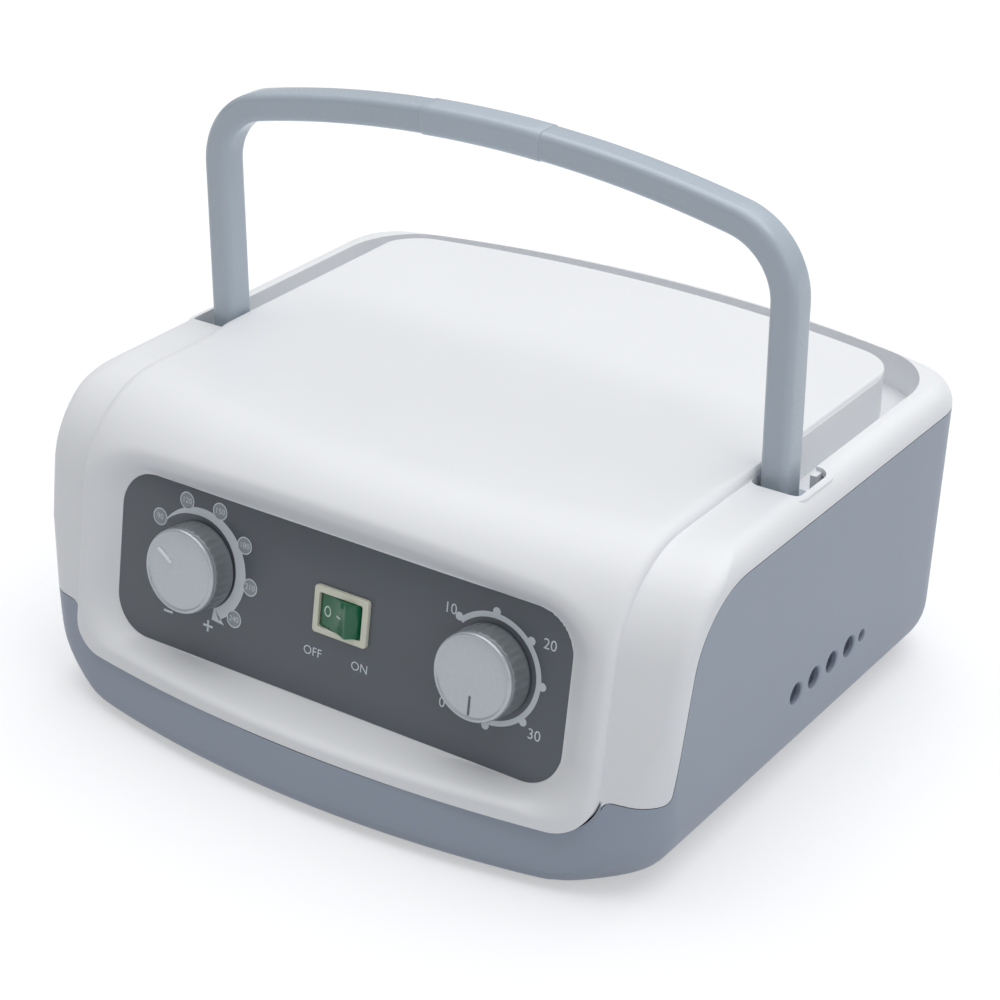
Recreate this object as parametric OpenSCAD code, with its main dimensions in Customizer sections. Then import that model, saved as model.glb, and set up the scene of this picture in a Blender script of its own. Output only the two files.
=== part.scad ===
// Air compression therapy pump: a two-part moulded housing with a folding bail handle,
// a recessed control panel with two dials and a mains rocker, four air outlets in the
// right side, and the compressor, rotary air distributor and electrics inside.
// Millimetres. X is the width, -Y is the front, Z is up. The feet stand on z = 0.

/* [Housing] */
// Overall width
body_w = 260; // [240:1:280]
// Depth from the front foot of the face to the back, on the centre line
body_d = 239; // [225:1:260]
// Height of the housing to the side ledges, feet not counted
body_h = 107; // [100:1:117]
// Wall thickness of both mouldings
wall = 2.6; // [2:0.1:3.2]
// Backward lean of the front face, degrees
face_tilt = 9.8; // [7:0.1:12]
// Plan radius of the bowed front
front_bow = 550; // [450:10:900]
// Plan radius of the bowed back
back_bow = 400; // [350:10:900]
// Radius that rolls the front over into the top
brow_r = 36.5; // [28:0.5:42]
// Plan radius of the front corners
front_corner_r = 20; // [14:1:26]
// Plan radius of the rear corners
rear_corner_r = 25; // [16:1:30]
// Radius along the upper side edges
ledge_r = 8.5; // [6:0.5:10]
// Radius along the lower side edges
sill_r = 20; // [12:1:24]
// Radius under the chin
chin_r = 6; // [4:1:12]
// Radius that tucks the lower front corners in
tuck_r = 45; // [40:1:60]
// Side wall draft, degrees
side_draft = 2.6; // [1:0.1:4]
// Rise of the raised centre field above the side ledges
field_rise = 3; // [1.5:0.5:5]
// Width of the visible joint between the two mouldings
seam_gap = 0.4; // [0.2:0.1:0.8]

/* [Seam] */
// Height of the joint at the front corners, above the floor of the housing
seam_corner_z = 32.8; // [28:0.2:38]
// Height of the joint under the raised field, above the floor of the housing
seam_chin_z = 17.2; // [14:0.2:22]
// Radius where the joint drops under the raised field
seam_drop_r = 15; // [10:1:18]
// Radius where the joint turns from the side into the front
seam_turn_r = 3.5; // [2:0.5:6]

/* [Control panel] */
// Width of the panel plate
panel_w = 183.6; // [170:0.2:190]
// Height of the panel plate
panel_h = 59.2; // [54:0.2:64]
// Corner radius of the panel plate
panel_r = 14; // [8:0.5:18]
// Thickness of the panel plate
panel_t = 1.2; // [0.8:0.1:2]
// Height of the panel's lower edge above the housing floor
panel_z = 28.4; // [26:0.2:32]
// Depth of the panel face behind the face of the side ledges, on the centre line
panel_set = 12; // [9:0.5:14]
// Widening of the recess towards its mouth, at the sides
recess_flare = 24; // [14:1:26]
// Widening of the recess towards its mouth, at the top
recess_brow = 20; // [12:1:24]
// Widening of the recess towards its mouth, at the bottom
recess_sill = 7; // [3:0.5:9]
// Height of the control centres above the lower edge of the panel
control_v = 33.4; // [28:0.2:36]

/* [Dials] */
// Distance of the pressure dial left of the centre
pressure_u = 56.4; // [50:0.2:60]
// Distance of the timer dial right of the centre
timer_u = 62.8; // [56:0.2:66]
// Radius of both knobs
knob_r = 14.8; // [12:0.2:16]
// Height of the knob skirt
knob_h = 8.6; // [6:0.2:12]
// Gap between a knob and the panel
knob_gap = 0.6; // [0.4:0.1:1.2]
// Number of grip flutes round a knob
flutes = 32; // [24:1:40]
// Thickness of the metal-look knob cap
cap_t = 1.9; // [1.4:0.1:2.6]
// Radius of the dial shafts
shaft_r = 3; // [2.5:0.1:3.5]

/* [Rocker switch] */
// Distance of the switch right of the centre
switch_u = 4.2; // [0:0.2:8]
// Width of the switch frame
switch_w = 22; // [20:0.2:24]
// Height of the switch frame
switch_h = 16.6; // [15:0.2:18]
// Border of the switch frame
switch_rim = 2.1; // [1.5:0.1:2.6]
// Height of the switch frame above the panel
switch_rise = 1.5; // [1:0.1:2.2]
// Tilt of the rocker either side of level, degrees
rocker_tilt = 9; // [6:0.5:12]

/* [Handle] */
// Width of the handle section, across the legs
grip_w = 10; // [8:0.2:12]
// Depth of the handle section, front to back
grip_d = 12; // [10:0.2:14]
// Corner radius of the handle section
grip_r = 4; // [2.5:0.1:4.5]
// Distance from the centre to the middle of a leg
leg_x = 113.9; // [110:0.1:115]
// Height of the handle top above the housing floor
handle_h = 206; // [182:1:222]
// Outer radius of the handle corners
bend_r = 30; // [24:1:36]
// Drop from the handle top to the centre of the corner bend
bend_drop = 39.5; // [36:0.5:46]
// Distance of the upright legs in front of the housing centre
leg_y = 8.2; // [4:0.2:12]
// Distance of the hinge pin behind the middle of the legs
hinge_back = 6.4; // [5:0.1:7.5]
// Height of the hinge pin above the housing floor
hinge_z = 93.5; // [90:0.1:95]
// Radius of the hinge pin
pin_r = 2; // [1.6:0.1:2.4]
// Radius of the eye at the foot of each leg
eye_r = 5.2; // [4.6:0.1:5.6]
// Length of the grip cover on the handle
cover_len = 47; // [30:1:70]
// Clearance between the folded handle and its trough
trough_gap = 1.2; // [0.8:0.1:2]

/* [Outlets and inlet] */
// Bore radius of an air outlet
outlet_r = 3.8; // [3:0.1:4.4]
// Length of an outlet socket behind the side wall
outlet_len = 14; // [10:1:18]
// Distance between outlets
outlet_pitch = 12.4; // [11:0.1:14]
// Distance of the first outlet in front of the housing centre
outlet_y = 13.2; // [6:0.2:20]
// Height of the outlets above the housing floor
outlet_z = 32.5; // [28:0.5:38]
// Bore radius of the locating hole beside the outlets
key_r = 2.2; // [1.8:0.1:2.6]
// Distance of the locating hole behind the last outlet
key_step = 9.1; // [8.5:0.1:12]
// Width of the mains inlet opening
inlet_w = 27; // [25:0.5:30]
// Height of the mains inlet opening
inlet_h = 19.5; // [18:0.5:22]

/* [Running clearances] */
// Gap between fitted pieces
fit = 0.3; // [0.2:0.05:0.4]
// Radial clearance of a turning shaft or pin
turn = 0.05; // [0.03:0.01:0.1]
// Height of the rubber feet below the housing
foot_h = 2; // [1.5:0.5:5]

/* [Hidden] */
$fn = 96;

far = 600;                                // longer than anything in the housing
half_w = body_w / 2;
front_y = -body_d / 2;
back_y = body_d / 2;
floor_z = foot_h;                         // underside of the housing
ledge_z = floor_z + body_h;
field_z = ledge_z + field_rise;
seam_z = ledge_z - ledge_r;               // joint line along the sides
bow_y = front_y + front_bow;              // centre of the bowed front
tail_y = back_y - back_bow;               // centre of the bowed back
field_half = leg_x - grip_w / 2 - trough_gap;
chin_ahead = field_rise / cos(face_tilt);
chin_sag = front_bow - sqrt(front_bow * front_bow - field_half * field_half) + chin_ahead;
chin_bow = (field_half * field_half + chin_sag * chin_sag) / (2 * chin_sag);

// panel frame: local x = width, y = up the panel, z = out of the panel
panel_lower_z = floor_z + panel_z;
panel_y = front_y + panel_z * tan(face_tilt) + panel_set / cos(face_tilt);

// handle, upright: the outer outline is a flat arch between two corner bends
arch_top = floor_z + handle_h;
bend_x = leg_x + grip_w / 2 - bend_r;
bend_z = arch_top - bend_drop;
arch_r = (bend_x * bend_x + bend_drop * bend_drop - bend_r * bend_r) / (2 * (bend_drop - bend_r));
arch_lean = asin(bend_x / (arch_r - bend_r));
hinge_y = -leg_y + hinge_back;
pin_z = floor_z + hinge_z;
lying_z = pin_z + hinge_back;             // middle of the folded leg
trough_z = lying_z - grip_d / 2 - 0.7;
fold_shift = hinge_y - pin_z;             // a height on the handle turned into a depth
slot_front = -leg_y - grip_d / 2 - 4.2;
slot_back = hinge_y + eye_r + 0.8;
slot_in = leg_x - grip_w / 2 - trough_gap;
slot_out = leg_x + grip_w / 2 + trough_gap + 5.1;
slot_z = pin_z - eye_r - 1.5;
web = 2.2;                                // wall of the trough and slot mouldings

module on_panel(u = 0, v = 0, rise = 0) {
    translate([0, panel_y, panel_lower_z])
        rotate([90 - face_tilt, 0, 0])
            translate([u, v, rise]) children();
}

module along_x(len) {
    rotate([90, 0, 90]) linear_extrude(len, center = true) children();
}

module along_y(len) {
    rotate([90, 0, 0]) linear_extrude(len, center = true) children();
}

module rounded_box2d(w, h, r) {
    square([w - 2 * r, h], center = true);
    square([w, h - 2 * r], center = true);
    for (sx = [-1, 1], sy = [-1, 1])
        translate([sx * (w / 2 - r), sy * (h / 2 - r)]) circle(r);
}

module tube(len, r_out, r_in) {
    difference() {
        cylinder(h = len, r = r_out);
        translate([0, 0, -1]) cylinder(h = len + 2, r = r_in);
    }
}

// ---------------------------------------------------------------- housing form

// Front and top: a leaning face rolled over into a flat top, revolved about the bow centre.
module face_roll(grow, bow = front_bow, ahead = 0) {
    top = ledge_z + grow;
    low = floor_z - min(grow, 0);
    r_top = brow_r + grow;
    r_low = max(chin_r + min(grow, 0), 2);
    base_r = bow + grow / cos(face_tilt);
    nx = cos(face_tilt);
    nz = sin(face_tilt);
    zc = top - r_top;
    rc = base_r - (zc - floor_z) * tan(face_tilt) - r_top / nx;
    zb = low + r_low;
    rb = base_r - (zb - floor_z) * tan(face_tilt) - r_low / nx;
    translate([0, front_y - ahead + bow, 0])
        rotate_extrude($fn = 180) union() {
            translate([rc, zc]) circle(r_top);
            translate([rb, zb]) circle(r_low);
            polygon([[0, low], [rb, low], [rb, zb], [rb + r_low * nx, zb + r_low * nz],
                     [rc + r_top * nx, zc + r_top * nz], [rc, zc], [rc, top], [0, top]]);
        }
}

// Plan outline: bowed front and back, straight sides, four rounded corners.
module plan2d(grow) {
    hw = half_w + grow;
    rf = front_corner_r + grow;
    rr = rear_corner_r + grow;
    yf = bow_y - sqrt(pow(front_bow + grow - rf, 2) - pow(hw - rf, 2));
    yr = tail_y + sqrt(pow(back_bow + grow - rr, 2) - pow(hw - rr, 2));
    intersection() {
        translate([0, bow_y]) circle(front_bow + grow, $fn = 180);
        translate([0, tail_y]) circle(back_bow + grow, $fn = 180);
        union() {
            translate([-hw, yf]) square([2 * hw, yr - yf]);
            translate([-(hw - rf), -far / 2]) square([2 * (hw - rf), far / 2 + yf + 5]);
            translate([-(hw - rr), yr - 5]) square([2 * (hw - rr), far / 2]);
            for (s = [-1, 1]) {
                translate([s * (hw - rf), yf]) circle(rf);
                translate([s * (hw - rr), yr]) circle(rr);
            }
        }
    }
}

// Front outline: drafted sides with rounded sills and rounded upper edges.
module front2d(grow) {
    t = tan(side_draft);
    nx = cos(side_draft);
    nz = sin(side_draft);
    low = floor_z - min(grow, 0);
    r_up = ledge_r + grow;
    r_dn = sill_r + min(grow, 0);
    zu = ledge_z - ledge_r;
    xu = half_w - ledge_r;
    zl = low + r_dn;
    xl = half_w + grow - (zu - zl) * t - r_dn / nx;
    for (s = [-1, 1]) scale([s, 1]) {
        translate([xu, zu]) circle(r_up);
        translate([xl, zl]) circle(r_dn);
        polygon([[0, low], [xl, low], [xl + r_dn * nx, zl - r_dn * nz], [xu + r_up, zu],
                 [xu, zu + r_up], [0, zu + r_up]]);
    }
}

// Area inside the folded handle's outline in plan, moved in or out by grow.
module arch_area(grow) {
    x_leg = leg_x + grip_w / 2 + grow;
    y_bend = bend_z + fold_shift;
    y_arch = arch_top - arch_r + fold_shift;
    translate([-x_leg, -far / 2]) square([2 * x_leg, far / 2 + y_bend]);
    for (s = [-1, 1]) translate([s * bend_x, y_bend]) circle(bend_r + grow);
    intersection() {
        translate([0, y_arch]) circle(arch_r + grow, $fn = 180);
        polygon([[0, y_arch], [far * sin(arch_lean), y_arch + far * cos(arch_lean)],
                 [-far * sin(arch_lean), y_arch + far * cos(arch_lean)]]);
    }
    translate([-bend_x, 0]) square([2 * bend_x, y_bend]);
}

// Everything behind the curve that tucks one lower front corner in.
module corner_tuck(side, grow) {
    rf = front_corner_r;
    x = half_w - rf;
    y = bow_y - sqrt(pow(front_bow - rf, 2) - pow(x, 2));
    high = floor_z + seam_corner_z + 1;
    back = rf - tuck_r;
    translate([side * x, y, 0]) rotate([0, 0, side * 45]) along_x(far) {
        translate([-back, high]) circle(tuck_r + grow);
        translate([-back, -1]) square([far, far]);
        translate([-far, high]) square([2 * far, far]);
    }
}

// Housing without its raised centre field.
module plain_form(grow) {
    intersection() {
        face_roll(grow);
        linear_extrude(far) plan2d(grow);
        along_y(far * 2) front2d(grow);
    }
}

// Lower housing, hollow or solid, with its front corners tucked in.
module lower_form(grow) {
    intersection() {
        plain_form(grow);
        corner_tuck(-1, grow);
        corner_tuck(1, grow);
    }
}

// The chin swells forward in the middle to meet the raised field.
module chin_swell() {
    intersection() {
        face_roll(0, chin_bow, chin_ahead);
        translate([-field_half - 2, -far / 2, 0]) cube([2 * field_half + 4, far / 2, floor_z + seam_corner_z + 6]);
    }
}

module housing_form(grow) {
    plain_form(grow);
    intersection() {
        face_roll(grow + field_rise);
        linear_extrude(far) intersection() {
            plan2d(grow + field_rise);
            arch_area(grow - grip_w - trough_gap);
        }
        translate([0, 0, floor_z + chin_r]) linear_extrude(far) square(far, center = true);
    }
}

// Points along an arc, from angle a0 to a1 in n steps.
function arc(cx, cy, r, a0, a1, n) = [
    for (i = [0:n]) let (a = a0 + (a1 - a0) * i / n) [cx + r * cos(a), cy + r * sin(a)]
];

// Side view of the grey zone: everything below the joint line.
module grey_side2d(gap) {
    top = seam_z - gap;
    r = brow_r - ledge_r + 0.8 - gap;
    yc = front_y + (top - r - floor_z) * tan(face_tilt) + (r + gap) / cos(face_tilt) + 22;
    zc = top - r;
    turn_z = floor_z + seam_corner_z - gap;
    turn_up = turn_z + seam_turn_r * (1 - sin(face_tilt));
    line_y = yc - r * cos(face_tilt) - (zc + r * sin(face_tilt) - turn_up) * tan(face_tilt);
    polygon(concat(
        [[far, -1], [far, top]],
        arc(yc, zc, r, 90, 180 - face_tilt, 18),
        arc(line_y - seam_turn_r * cos(face_tilt), turn_z + seam_turn_r, seam_turn_r, -face_tilt, -90, 6),
        [[-far, turn_z], [-far, -1]]));
}

// Front view of the white lip that drops under the raised field.
module lip2d(gap) {
    hw = field_half + 0.4 + gap;
    low = floor_z + seam_chin_z - gap;
    up = floor_z + seam_corner_z;
    r = seam_drop_r;
    translate([-hw, low + r]) square([2 * hw, up - low - r + 8]);
    translate([-(hw - r), low]) square([2 * (hw - r), r + 1]);
    for (s = [-1, 1]) {
        translate([s * (hw - r), low + r]) circle(r);
        difference() {
            translate([s * (hw + 1.5) - 2.5, up - 4.1]) square([5, 4.2]);
            translate([s * (hw + 4), up - 4]) circle(4);
        }
    }
}

module white_zone(gap) {
    difference() {
        translate([-far / 2, -far / 2, 0]) cube([far, far, far]);
        along_x(far) grey_side2d(gap);
    }
    translate([0, front_y + 10, 0]) along_y(60) lip2d(gap);
}

// ---------------------------------------------------------------- cut-outs and bosses

module trough(grow) {
    translate([0, 0, trough_z - grow]) linear_extrude(far) difference() {
        arch_area(trough_gap + grow);
        arch_area(-grip_w - trough_gap - grow);
        translate([-far / 2, -far]) square([far, far + slot_back - 6]);
    }
}

module slots(grow) {
    for (s = [-1, 1])
        translate([s * (slot_in + slot_out) / 2, (slot_front + slot_back) / 2, slot_z - grow])
            linear_extrude(far)
                rounded_box2d(slot_out - slot_in + 2 * grow, slot_back - slot_front + 2 * grow, 3.5);
}

module hinge_bosses() {
    for (s = [-1, 1])
        translate([s * (slot_in - 4), hinge_y, pin_z]) rotate([0, 90, 0])
            cylinder(h = 8, r = pin_r + 3, center = true);
}

module across_slots(x_from, x_to, r) {
    for (s = [-1, 1])
        translate([s * (x_from + x_to) / 2, hinge_y, pin_z]) rotate([0, 90, 0])
            cylinder(h = x_to - x_from, r = r, center = true);
}

module recess_form(grow) {
    reach = panel_set + field_rise + 6;
    rise = (recess_brow - recess_sill) / 2;
    high = panel_h + recess_brow + recess_sill;
    on_panel(0, panel_h / 2, -panel_t - grow) hull() {
        linear_extrude(0.1) rounded_box2d(panel_w + 1 + 2 * grow, panel_h + 1 + 2 * grow, panel_r + 0.5);
        translate([0, rise, reach]) linear_extrude(0.1)
            rounded_box2d(panel_w + 1 + 2 * (grow + recess_flare), high + 1 + 2 * grow, panel_r + recess_sill);
    }
}

screw_spots = [[-96, -62], [96, -62], [-100, 62], [100, 62]];
boss_r = 4.8;
screw_r = 1.5;
head_r = 3;
boss_split = floor_z + 62;
head_z = boss_split - 6;

module top_bosses() {
    for (p = screw_spots) translate([p[0], p[1], boss_split + fit])
        cylinder(h = field_z - wall / 2 - boss_split - fit, r = boss_r);
}

module base_bosses() {
    for (p = screw_spots) translate([p[0], p[1], floor_z + 0.5]) cylinder(h = boss_split - floor_z - 0.5, r = boss_r);
}

module base_shell() color("slategray") {
    side_x = half_w - (seam_z - floor_z - outlet_z) * tan(side_draft);
    difference() {
        union() {
            difference() {
                union() {
                    lower_form(0);
                    chin_swell();
                }
                lower_form(-wall);
                white_zone(seam_gap);
            }
            intersection() {
                lower_form(-wall / 2);
                union() {
                    base_bosses();
                    for (i = [0:3])
                        translate([side_x - outlet_len - wall, -outlet_y + i * outlet_pitch, floor_z + outlet_z])
                            rotate([0, 90, 0]) cylinder(h = outlet_len + wall, r = outlet_r + 2);
                    translate([side_x - 10, -outlet_y + 3 * outlet_pitch + key_step, floor_z + outlet_z])
                        rotate([0, 90, 0]) cylinder(h = 10, r = key_r + 1.6);
                }
            }
            inlet_frame();
        }
        for (i = [0:3])
            translate([side_x - outlet_len - wall - 1, -outlet_y + i * outlet_pitch, floor_z + outlet_z])
                rotate([0, 90, 0]) cylinder(h = outlet_len + wall + 5, r = outlet_r);
        translate([side_x - 8, -outlet_y + 3 * outlet_pitch + key_step, floor_z + outlet_z])
            rotate([0, 90, 0]) cylinder(h = 12, r = key_r);
        for (p = screw_spots) {
            translate([p[0], p[1], floor_z - 1]) cylinder(h = boss_split, r = screw_r + fit / 2);
            translate([p[0], p[1], floor_z - 1]) cylinder(h = head_z - floor_z + 1, r = head_r + fit);
        }
        translate([inlet_x, back_y, inlet_mid_z]) cube([inlet_w, 40, inlet_h], center = true);
        translate([fuse_x, back_y, inlet_mid_z]) rotate([90, 0, 0])
            cylinder(h = 20, r = fuse_r + fit / 2, center = true);
        rear_vents();
        filter_opening();
    }
}

inlet_x = -62;
inlet_mid_z = floor_z + 28;
inlet_face_y = tail_y + sqrt(back_bow * back_bow - pow(abs(inlet_x) + inlet_w / 2, 2)) - wall - 0.5;

module inlet_frame() {
    intersection() {
        lower_form(-0.4);
        difference() {
            translate([inlet_x, inlet_face_y - 1, inlet_mid_z]) cube([inlet_w + 8, 12, inlet_h + 8], center = true);
            translate([inlet_x, inlet_face_y - 6, inlet_mid_z]) cube([inlet_w + 12, 8, inlet_h + 12], center = true);
        }
    }
}

module rear_vents() {
    for (i = [0:8], k = [0:1])
        translate([30 + i * 7, back_y - 12, floor_z + 30 + k * 24])
            rotate([90, 0, 0]) linear_extrude(60, center = true) rounded_box2d(2.6, 18, 1.25);
}

filter_x = 40;
filter_y = 62;
filter_r = 13;

module filter_opening() {
    translate([filter_x, filter_y, floor_z - 1]) cylinder(h = wall + 2, r = filter_r);
}

// ---------------------------------------------------------------- upper moulding

panel_back = -panel_t - web;              // back of the recess floor, in the panel frame
bush_r = 4.75;
switch_in_w = switch_w - 2 * switch_rim;
switch_in_h = switch_h - 2 * switch_rim;

module panel_holes(extra) {
    for (u = [-pressure_u, timer_u])
        on_panel(u, control_v, panel_back - 1) cylinder(h = 20, r = bush_r + extra);
    on_panel(switch_u, control_v, panel_back - 1) linear_extrude(20)
        square([switch_in_w + 1.8 + 2 * extra, switch_in_h + 1.8 + 2 * extra], center = true);
}

module inner_reach() {
    housing_form(-wall - 0.5);
    intersection() {
        white_zone(0);
        housing_form(-wall / 2);
    }
}

module top_shell() color("whitesmoke") {
    difference() {
        union() {
            intersection() {
                white_zone(0);
                difference() {
                    housing_form(0);
                    housing_form(-wall);
                }
            }
            intersection() {
                inner_reach();
                union() {
                    trough(web);
                    slots(web);
                    recess_form(web);
                    hinge_bosses();
                    top_bosses();
                }
            }
        }
        trough(0);
        slots(0);
        recess_form(0);
        across_slots(slot_in - 8.5, slot_out + 4, pin_r + fit / 2);
        panel_holes(fit);
        for (p = screw_spots)
            translate([p[0], p[1], boss_split - 1]) cylinder(h = 16, r = screw_r + 0.1);
    }
}

// ---------------------------------------------------------------- control panel and switch

module control_panel() color("dimgray") {
    difference() {
        on_panel(0, panel_h / 2, -panel_t) linear_extrude(panel_t) rounded_box2d(panel_w, panel_h, panel_r);
        panel_holes(fit);
    }
}

switch_deep = 16;
rocker_low = 2.6;                         // rocker axis below the panel face

module switch_frame() color("ivory") {
    on_panel(switch_u, control_v, 0) difference() {
        union() {
            linear_extrude(switch_rise) rounded_box2d(switch_w, switch_h, 1.2);
            translate([0, 0, -switch_deep]) linear_extrude(switch_deep)
                square([switch_in_w + 1.8, switch_in_h + 1.8], center = true);
        }
        translate([0, 0, 3 - switch_deep]) linear_extrude(switch_deep + 4)
            square([switch_in_w, switch_in_h], center = true);
        translate([0, 0, -rocker_low]) rotate([90, 0, 0])
            cylinder(h = switch_h + 4, r = 1.2 + turn, center = true);
    }
}

module switch_rocker() color("limegreen") {
    half = switch_in_w / 2 + rocker_low;
    lift = half * tan(rocker_tilt);
    wide = switch_in_h - 2 * fit;
    on_panel(switch_u, control_v, -rocker_low) rotate([90, -rocker_tilt, 0]) {
        intersection() {
            cylinder(h = wide, r = switch_in_w / 2 - fit / 2, center = true);
            linear_extrude(wide, center = true)
                polygon([[-half, rocker_low + 0.8 + lift], [0, rocker_low + 0.8],
                         [half, rocker_low + 0.8 + lift], [half, 0], [5, -6], [-5, -6], [-half, 0]]);
        }
        cylinder(h = switch_in_h + 1, r = 1.2, center = true);
    }
}

module switch_terminals() color("goldenrod") {
    on_panel(switch_u, control_v, 0)
        for (su = [-1, 1], sv = [-1, 1])
            translate([su * 4.6, sv * 2.6, -switch_deep - 5]) cube([0.8, 4, 10], center = true);
}

// ---------------------------------------------------------------- dials

nut_h = 2.4;
nut_r = 7;

module d_shape(r) {
    difference() {
        circle(r);
        translate([r - shaft_r * 0.45, -r - 1]) square([r, 2 * r + 2]);
    }
}

module knob_part(mark) {
    difference() {
        cylinder(h = knob_h, r = knob_r);
        for (i = [0:flutes - 1])
            rotate(360 / flutes * (i + 0.5)) translate([knob_r + 0.55, 0, 1])
                cylinder(h = knob_h, r = 1.05, $fn = 24);
        translate([0, 0, -1]) cylinder(h = nut_h + 2, r = nut_r + 2);
        translate([0, 0, -1]) linear_extrude(knob_h) rotate(mark) d_shape(shaft_r + 0.1);
    }
}

module cap_disc() {
    cylinder(h = cap_t * 0.6, r = knob_r - 0.6);
    translate([0, 0, cap_t * 0.6]) cylinder(h = cap_t * 0.4, r = knob_r - 1.6);
}

module shaft_part(mark) {
    difference() {
        translate([0, 0, -14 - knob_gap]) cylinder(h = 14 + knob_gap + knob_h - 1.6, r = shaft_r);
        rotate(mark) translate([shaft_r * 0.55, -shaft_r - 1, -knob_gap])
            cube([shaft_r, 2 * shaft_r + 2, knob_h + 2]);
    }
}

module dial_body(r, len) {
    difference() {
        union() {
            translate([0, 0, panel_back - len]) cylinder(h = len, r = r);
            translate([0, 0, panel_back - 1]) cylinder(h = nut_h - panel_back + 1, r = bush_r);
        }
        translate([0, 0, -14.4]) cylinder(h = 30, r = shaft_r + turn);
    }
}

pressure_mark = 148;                      // direction of each pointer in the panel frame
timer_mark = -90;

module pressure_knob() color("gray") {
    on_panel(-pressure_u, control_v, knob_gap) knob_part(pressure_mark);
}

module pressure_knob_cap() color("silver") {
    on_panel(-pressure_u, control_v, knob_gap + knob_h) {
        cap_disc();
        rotate(pressure_mark) translate([4, -0.9, cap_t - 0.2]) cube([7.2, 1.8, 0.8]);
    }
}

module regulator_shaft() color("lightsteelblue") {
    on_panel(-pressure_u, control_v, knob_gap) shaft_part(pressure_mark);
}

module regulator_body() color("steelblue") {
    on_panel(-pressure_u, control_v, 0) dial_body(12, 24);
}

module timer_knob() color("gray") {
    on_panel(timer_u, control_v, knob_gap) knob_part(timer_mark);
}

module timer_knob_cap() color("silver") {
    on_panel(timer_u, control_v, knob_gap + knob_h) difference() {
        cap_disc();
        rotate(timer_mark) translate([6, -0.5, cap_t - 0.5]) cube([knob_r, 1, 2]);
    }
}

module timer_shaft() color("lightsteelblue") {
    on_panel(timer_u, control_v, knob_gap) shaft_part(timer_mark);
}

module timer_body() color("darkslategray") {
    on_panel(timer_u, control_v, 0) dial_body(19, 26);
}

module panel_nuts() color("goldenrod") {
    for (u = [-pressure_u, timer_u])
        on_panel(u, control_v, 0) difference() {
            cylinder(h = nut_h, r = nut_r, $fn = 6);
            translate([0, 0, -1]) cylinder(h = nut_h + 2, r = bush_r + 0.1);
        }
}

// ---------------------------------------------------------------- handle and hinge

module grip_section(shrink) {
    rounded_box2d(grip_w - 2 * shrink, grip_d - 2 * shrink, grip_r - shrink);
}

module arch_piece(half_angle, shrink) {
    translate([0, -leg_y, arch_top - arch_r]) rotate([90, 0, 0])
        rotate([0, 0, 90 - half_angle]) rotate_extrude(angle = 2 * half_angle, $fn = 180)
            translate([arch_r - grip_w / 2, 0]) grip_section(shrink);
}

cover_angle = cover_len / 2 / arch_r * 180 / PI;

// Points of the handle section, its outer side along +x, drawn in by shrink.
function section_points(shrink) = [
    for (q = [0:3], i = [0:5])
        let (a = q * 90 + i * 18, sx = q == 0 || q == 3 ? 1 : -1, sy = q < 2 ? 1 : -1)
            [sx * (grip_w / 2 - grip_r) + (grip_r - shrink) * cos(a),
             sy * (grip_d / 2 - grip_r) + (grip_r - shrink) * sin(a)]
];

// Stations along the handle from the right foot to the left: x, z, outward angle, shrink.
function bend_stations(s) = [
    for (i = [0:9]) let (a = (90 - arch_lean) * i / 9, r = bend_r - grip_w / 2)
        [s * (bend_x + r * cos(a)), bend_z + r * sin(a), s > 0 ? a : 180 - a, 0]
];
function arch_station(a, shrink) = let (r = arch_r - grip_w / 2)
    [r * cos(a), arch_top - arch_r + r * sin(a), a, shrink];
function arch_stations(a0, a1, shrink, n) = [for (i = [0:n]) arch_station(a0 + (a1 - a0) * i / n, shrink)];
foot_top = pin_z - eye_r;
stations = concat(
    [[leg_x, foot_top, 0, 0]], bend_stations(1),
    [for (i = [1:3]) arch_station(90 - arch_lean + (arch_lean - cover_angle) * i / 3, 0)],
    arch_stations(90 - cover_angle, 90 + cover_angle, 1, 4),
    [for (i = [0:2]) arch_station(90 + cover_angle + (arch_lean - cover_angle) * i / 3, 0)],
    [for (i = [9:-1:0]) bend_stations(-1)[i]], [[-leg_x, foot_top, 180, 0]]);

module handle_sweep() {
    n = len(section_points(0));
    m = len(stations);
    polyhedron(
        points = [for (t = stations, p = section_points(t[3]))
            [t[0] + p[0] * cos(t[2]), p[1] - leg_y, t[1] + p[0] * sin(t[2])]],
        faces = concat(
            [[for (j = [0:n - 1]) j]],
            [for (i = [0:m - 2], j = [0:n - 1])
                [i * n + j, (i + 1) * n + j, (i + 1) * n + (j + 1) % n, i * n + (j + 1) % n]],
            [[for (j = [n - 1:-1:0]) (m - 1) * n + j]]));
}

module handle() color("lightsteelblue") {
    difference() {
        union() {
            handle_sweep();
            for (s = [-1, 1])
                translate([s * leg_x, (hinge_y - leg_y) / 2, pin_z])
                    cube([grip_w, leg_y + hinge_y, 2 * eye_r], center = true);
            across_slots(leg_x - grip_w / 2, leg_x + grip_w / 2, eye_r);
        }
        across_slots(leg_x - grip_w, leg_x + grip_w, pin_r + turn);
    }
}

module handle_grip_cover() color("gainsboro") {
    difference() {
        arch_piece(cover_angle - 0.03, -0.3);
        arch_piece(cover_angle + 0.5, 0.9);
    }
}

module hinge_pins() color("silver") {
    across_slots(slot_in - 6, slot_out + 1, pin_r);
}

module hinge_spacers() color("dimgray") {
    difference() {
        across_slots(leg_x + grip_w / 2 + fit, slot_out - 1.3, eye_r - 1);
        across_slots(leg_x, slot_out + 3, pin_r + fit / 2);
    }
}

// ---------------------------------------------------------------- air path

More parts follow.
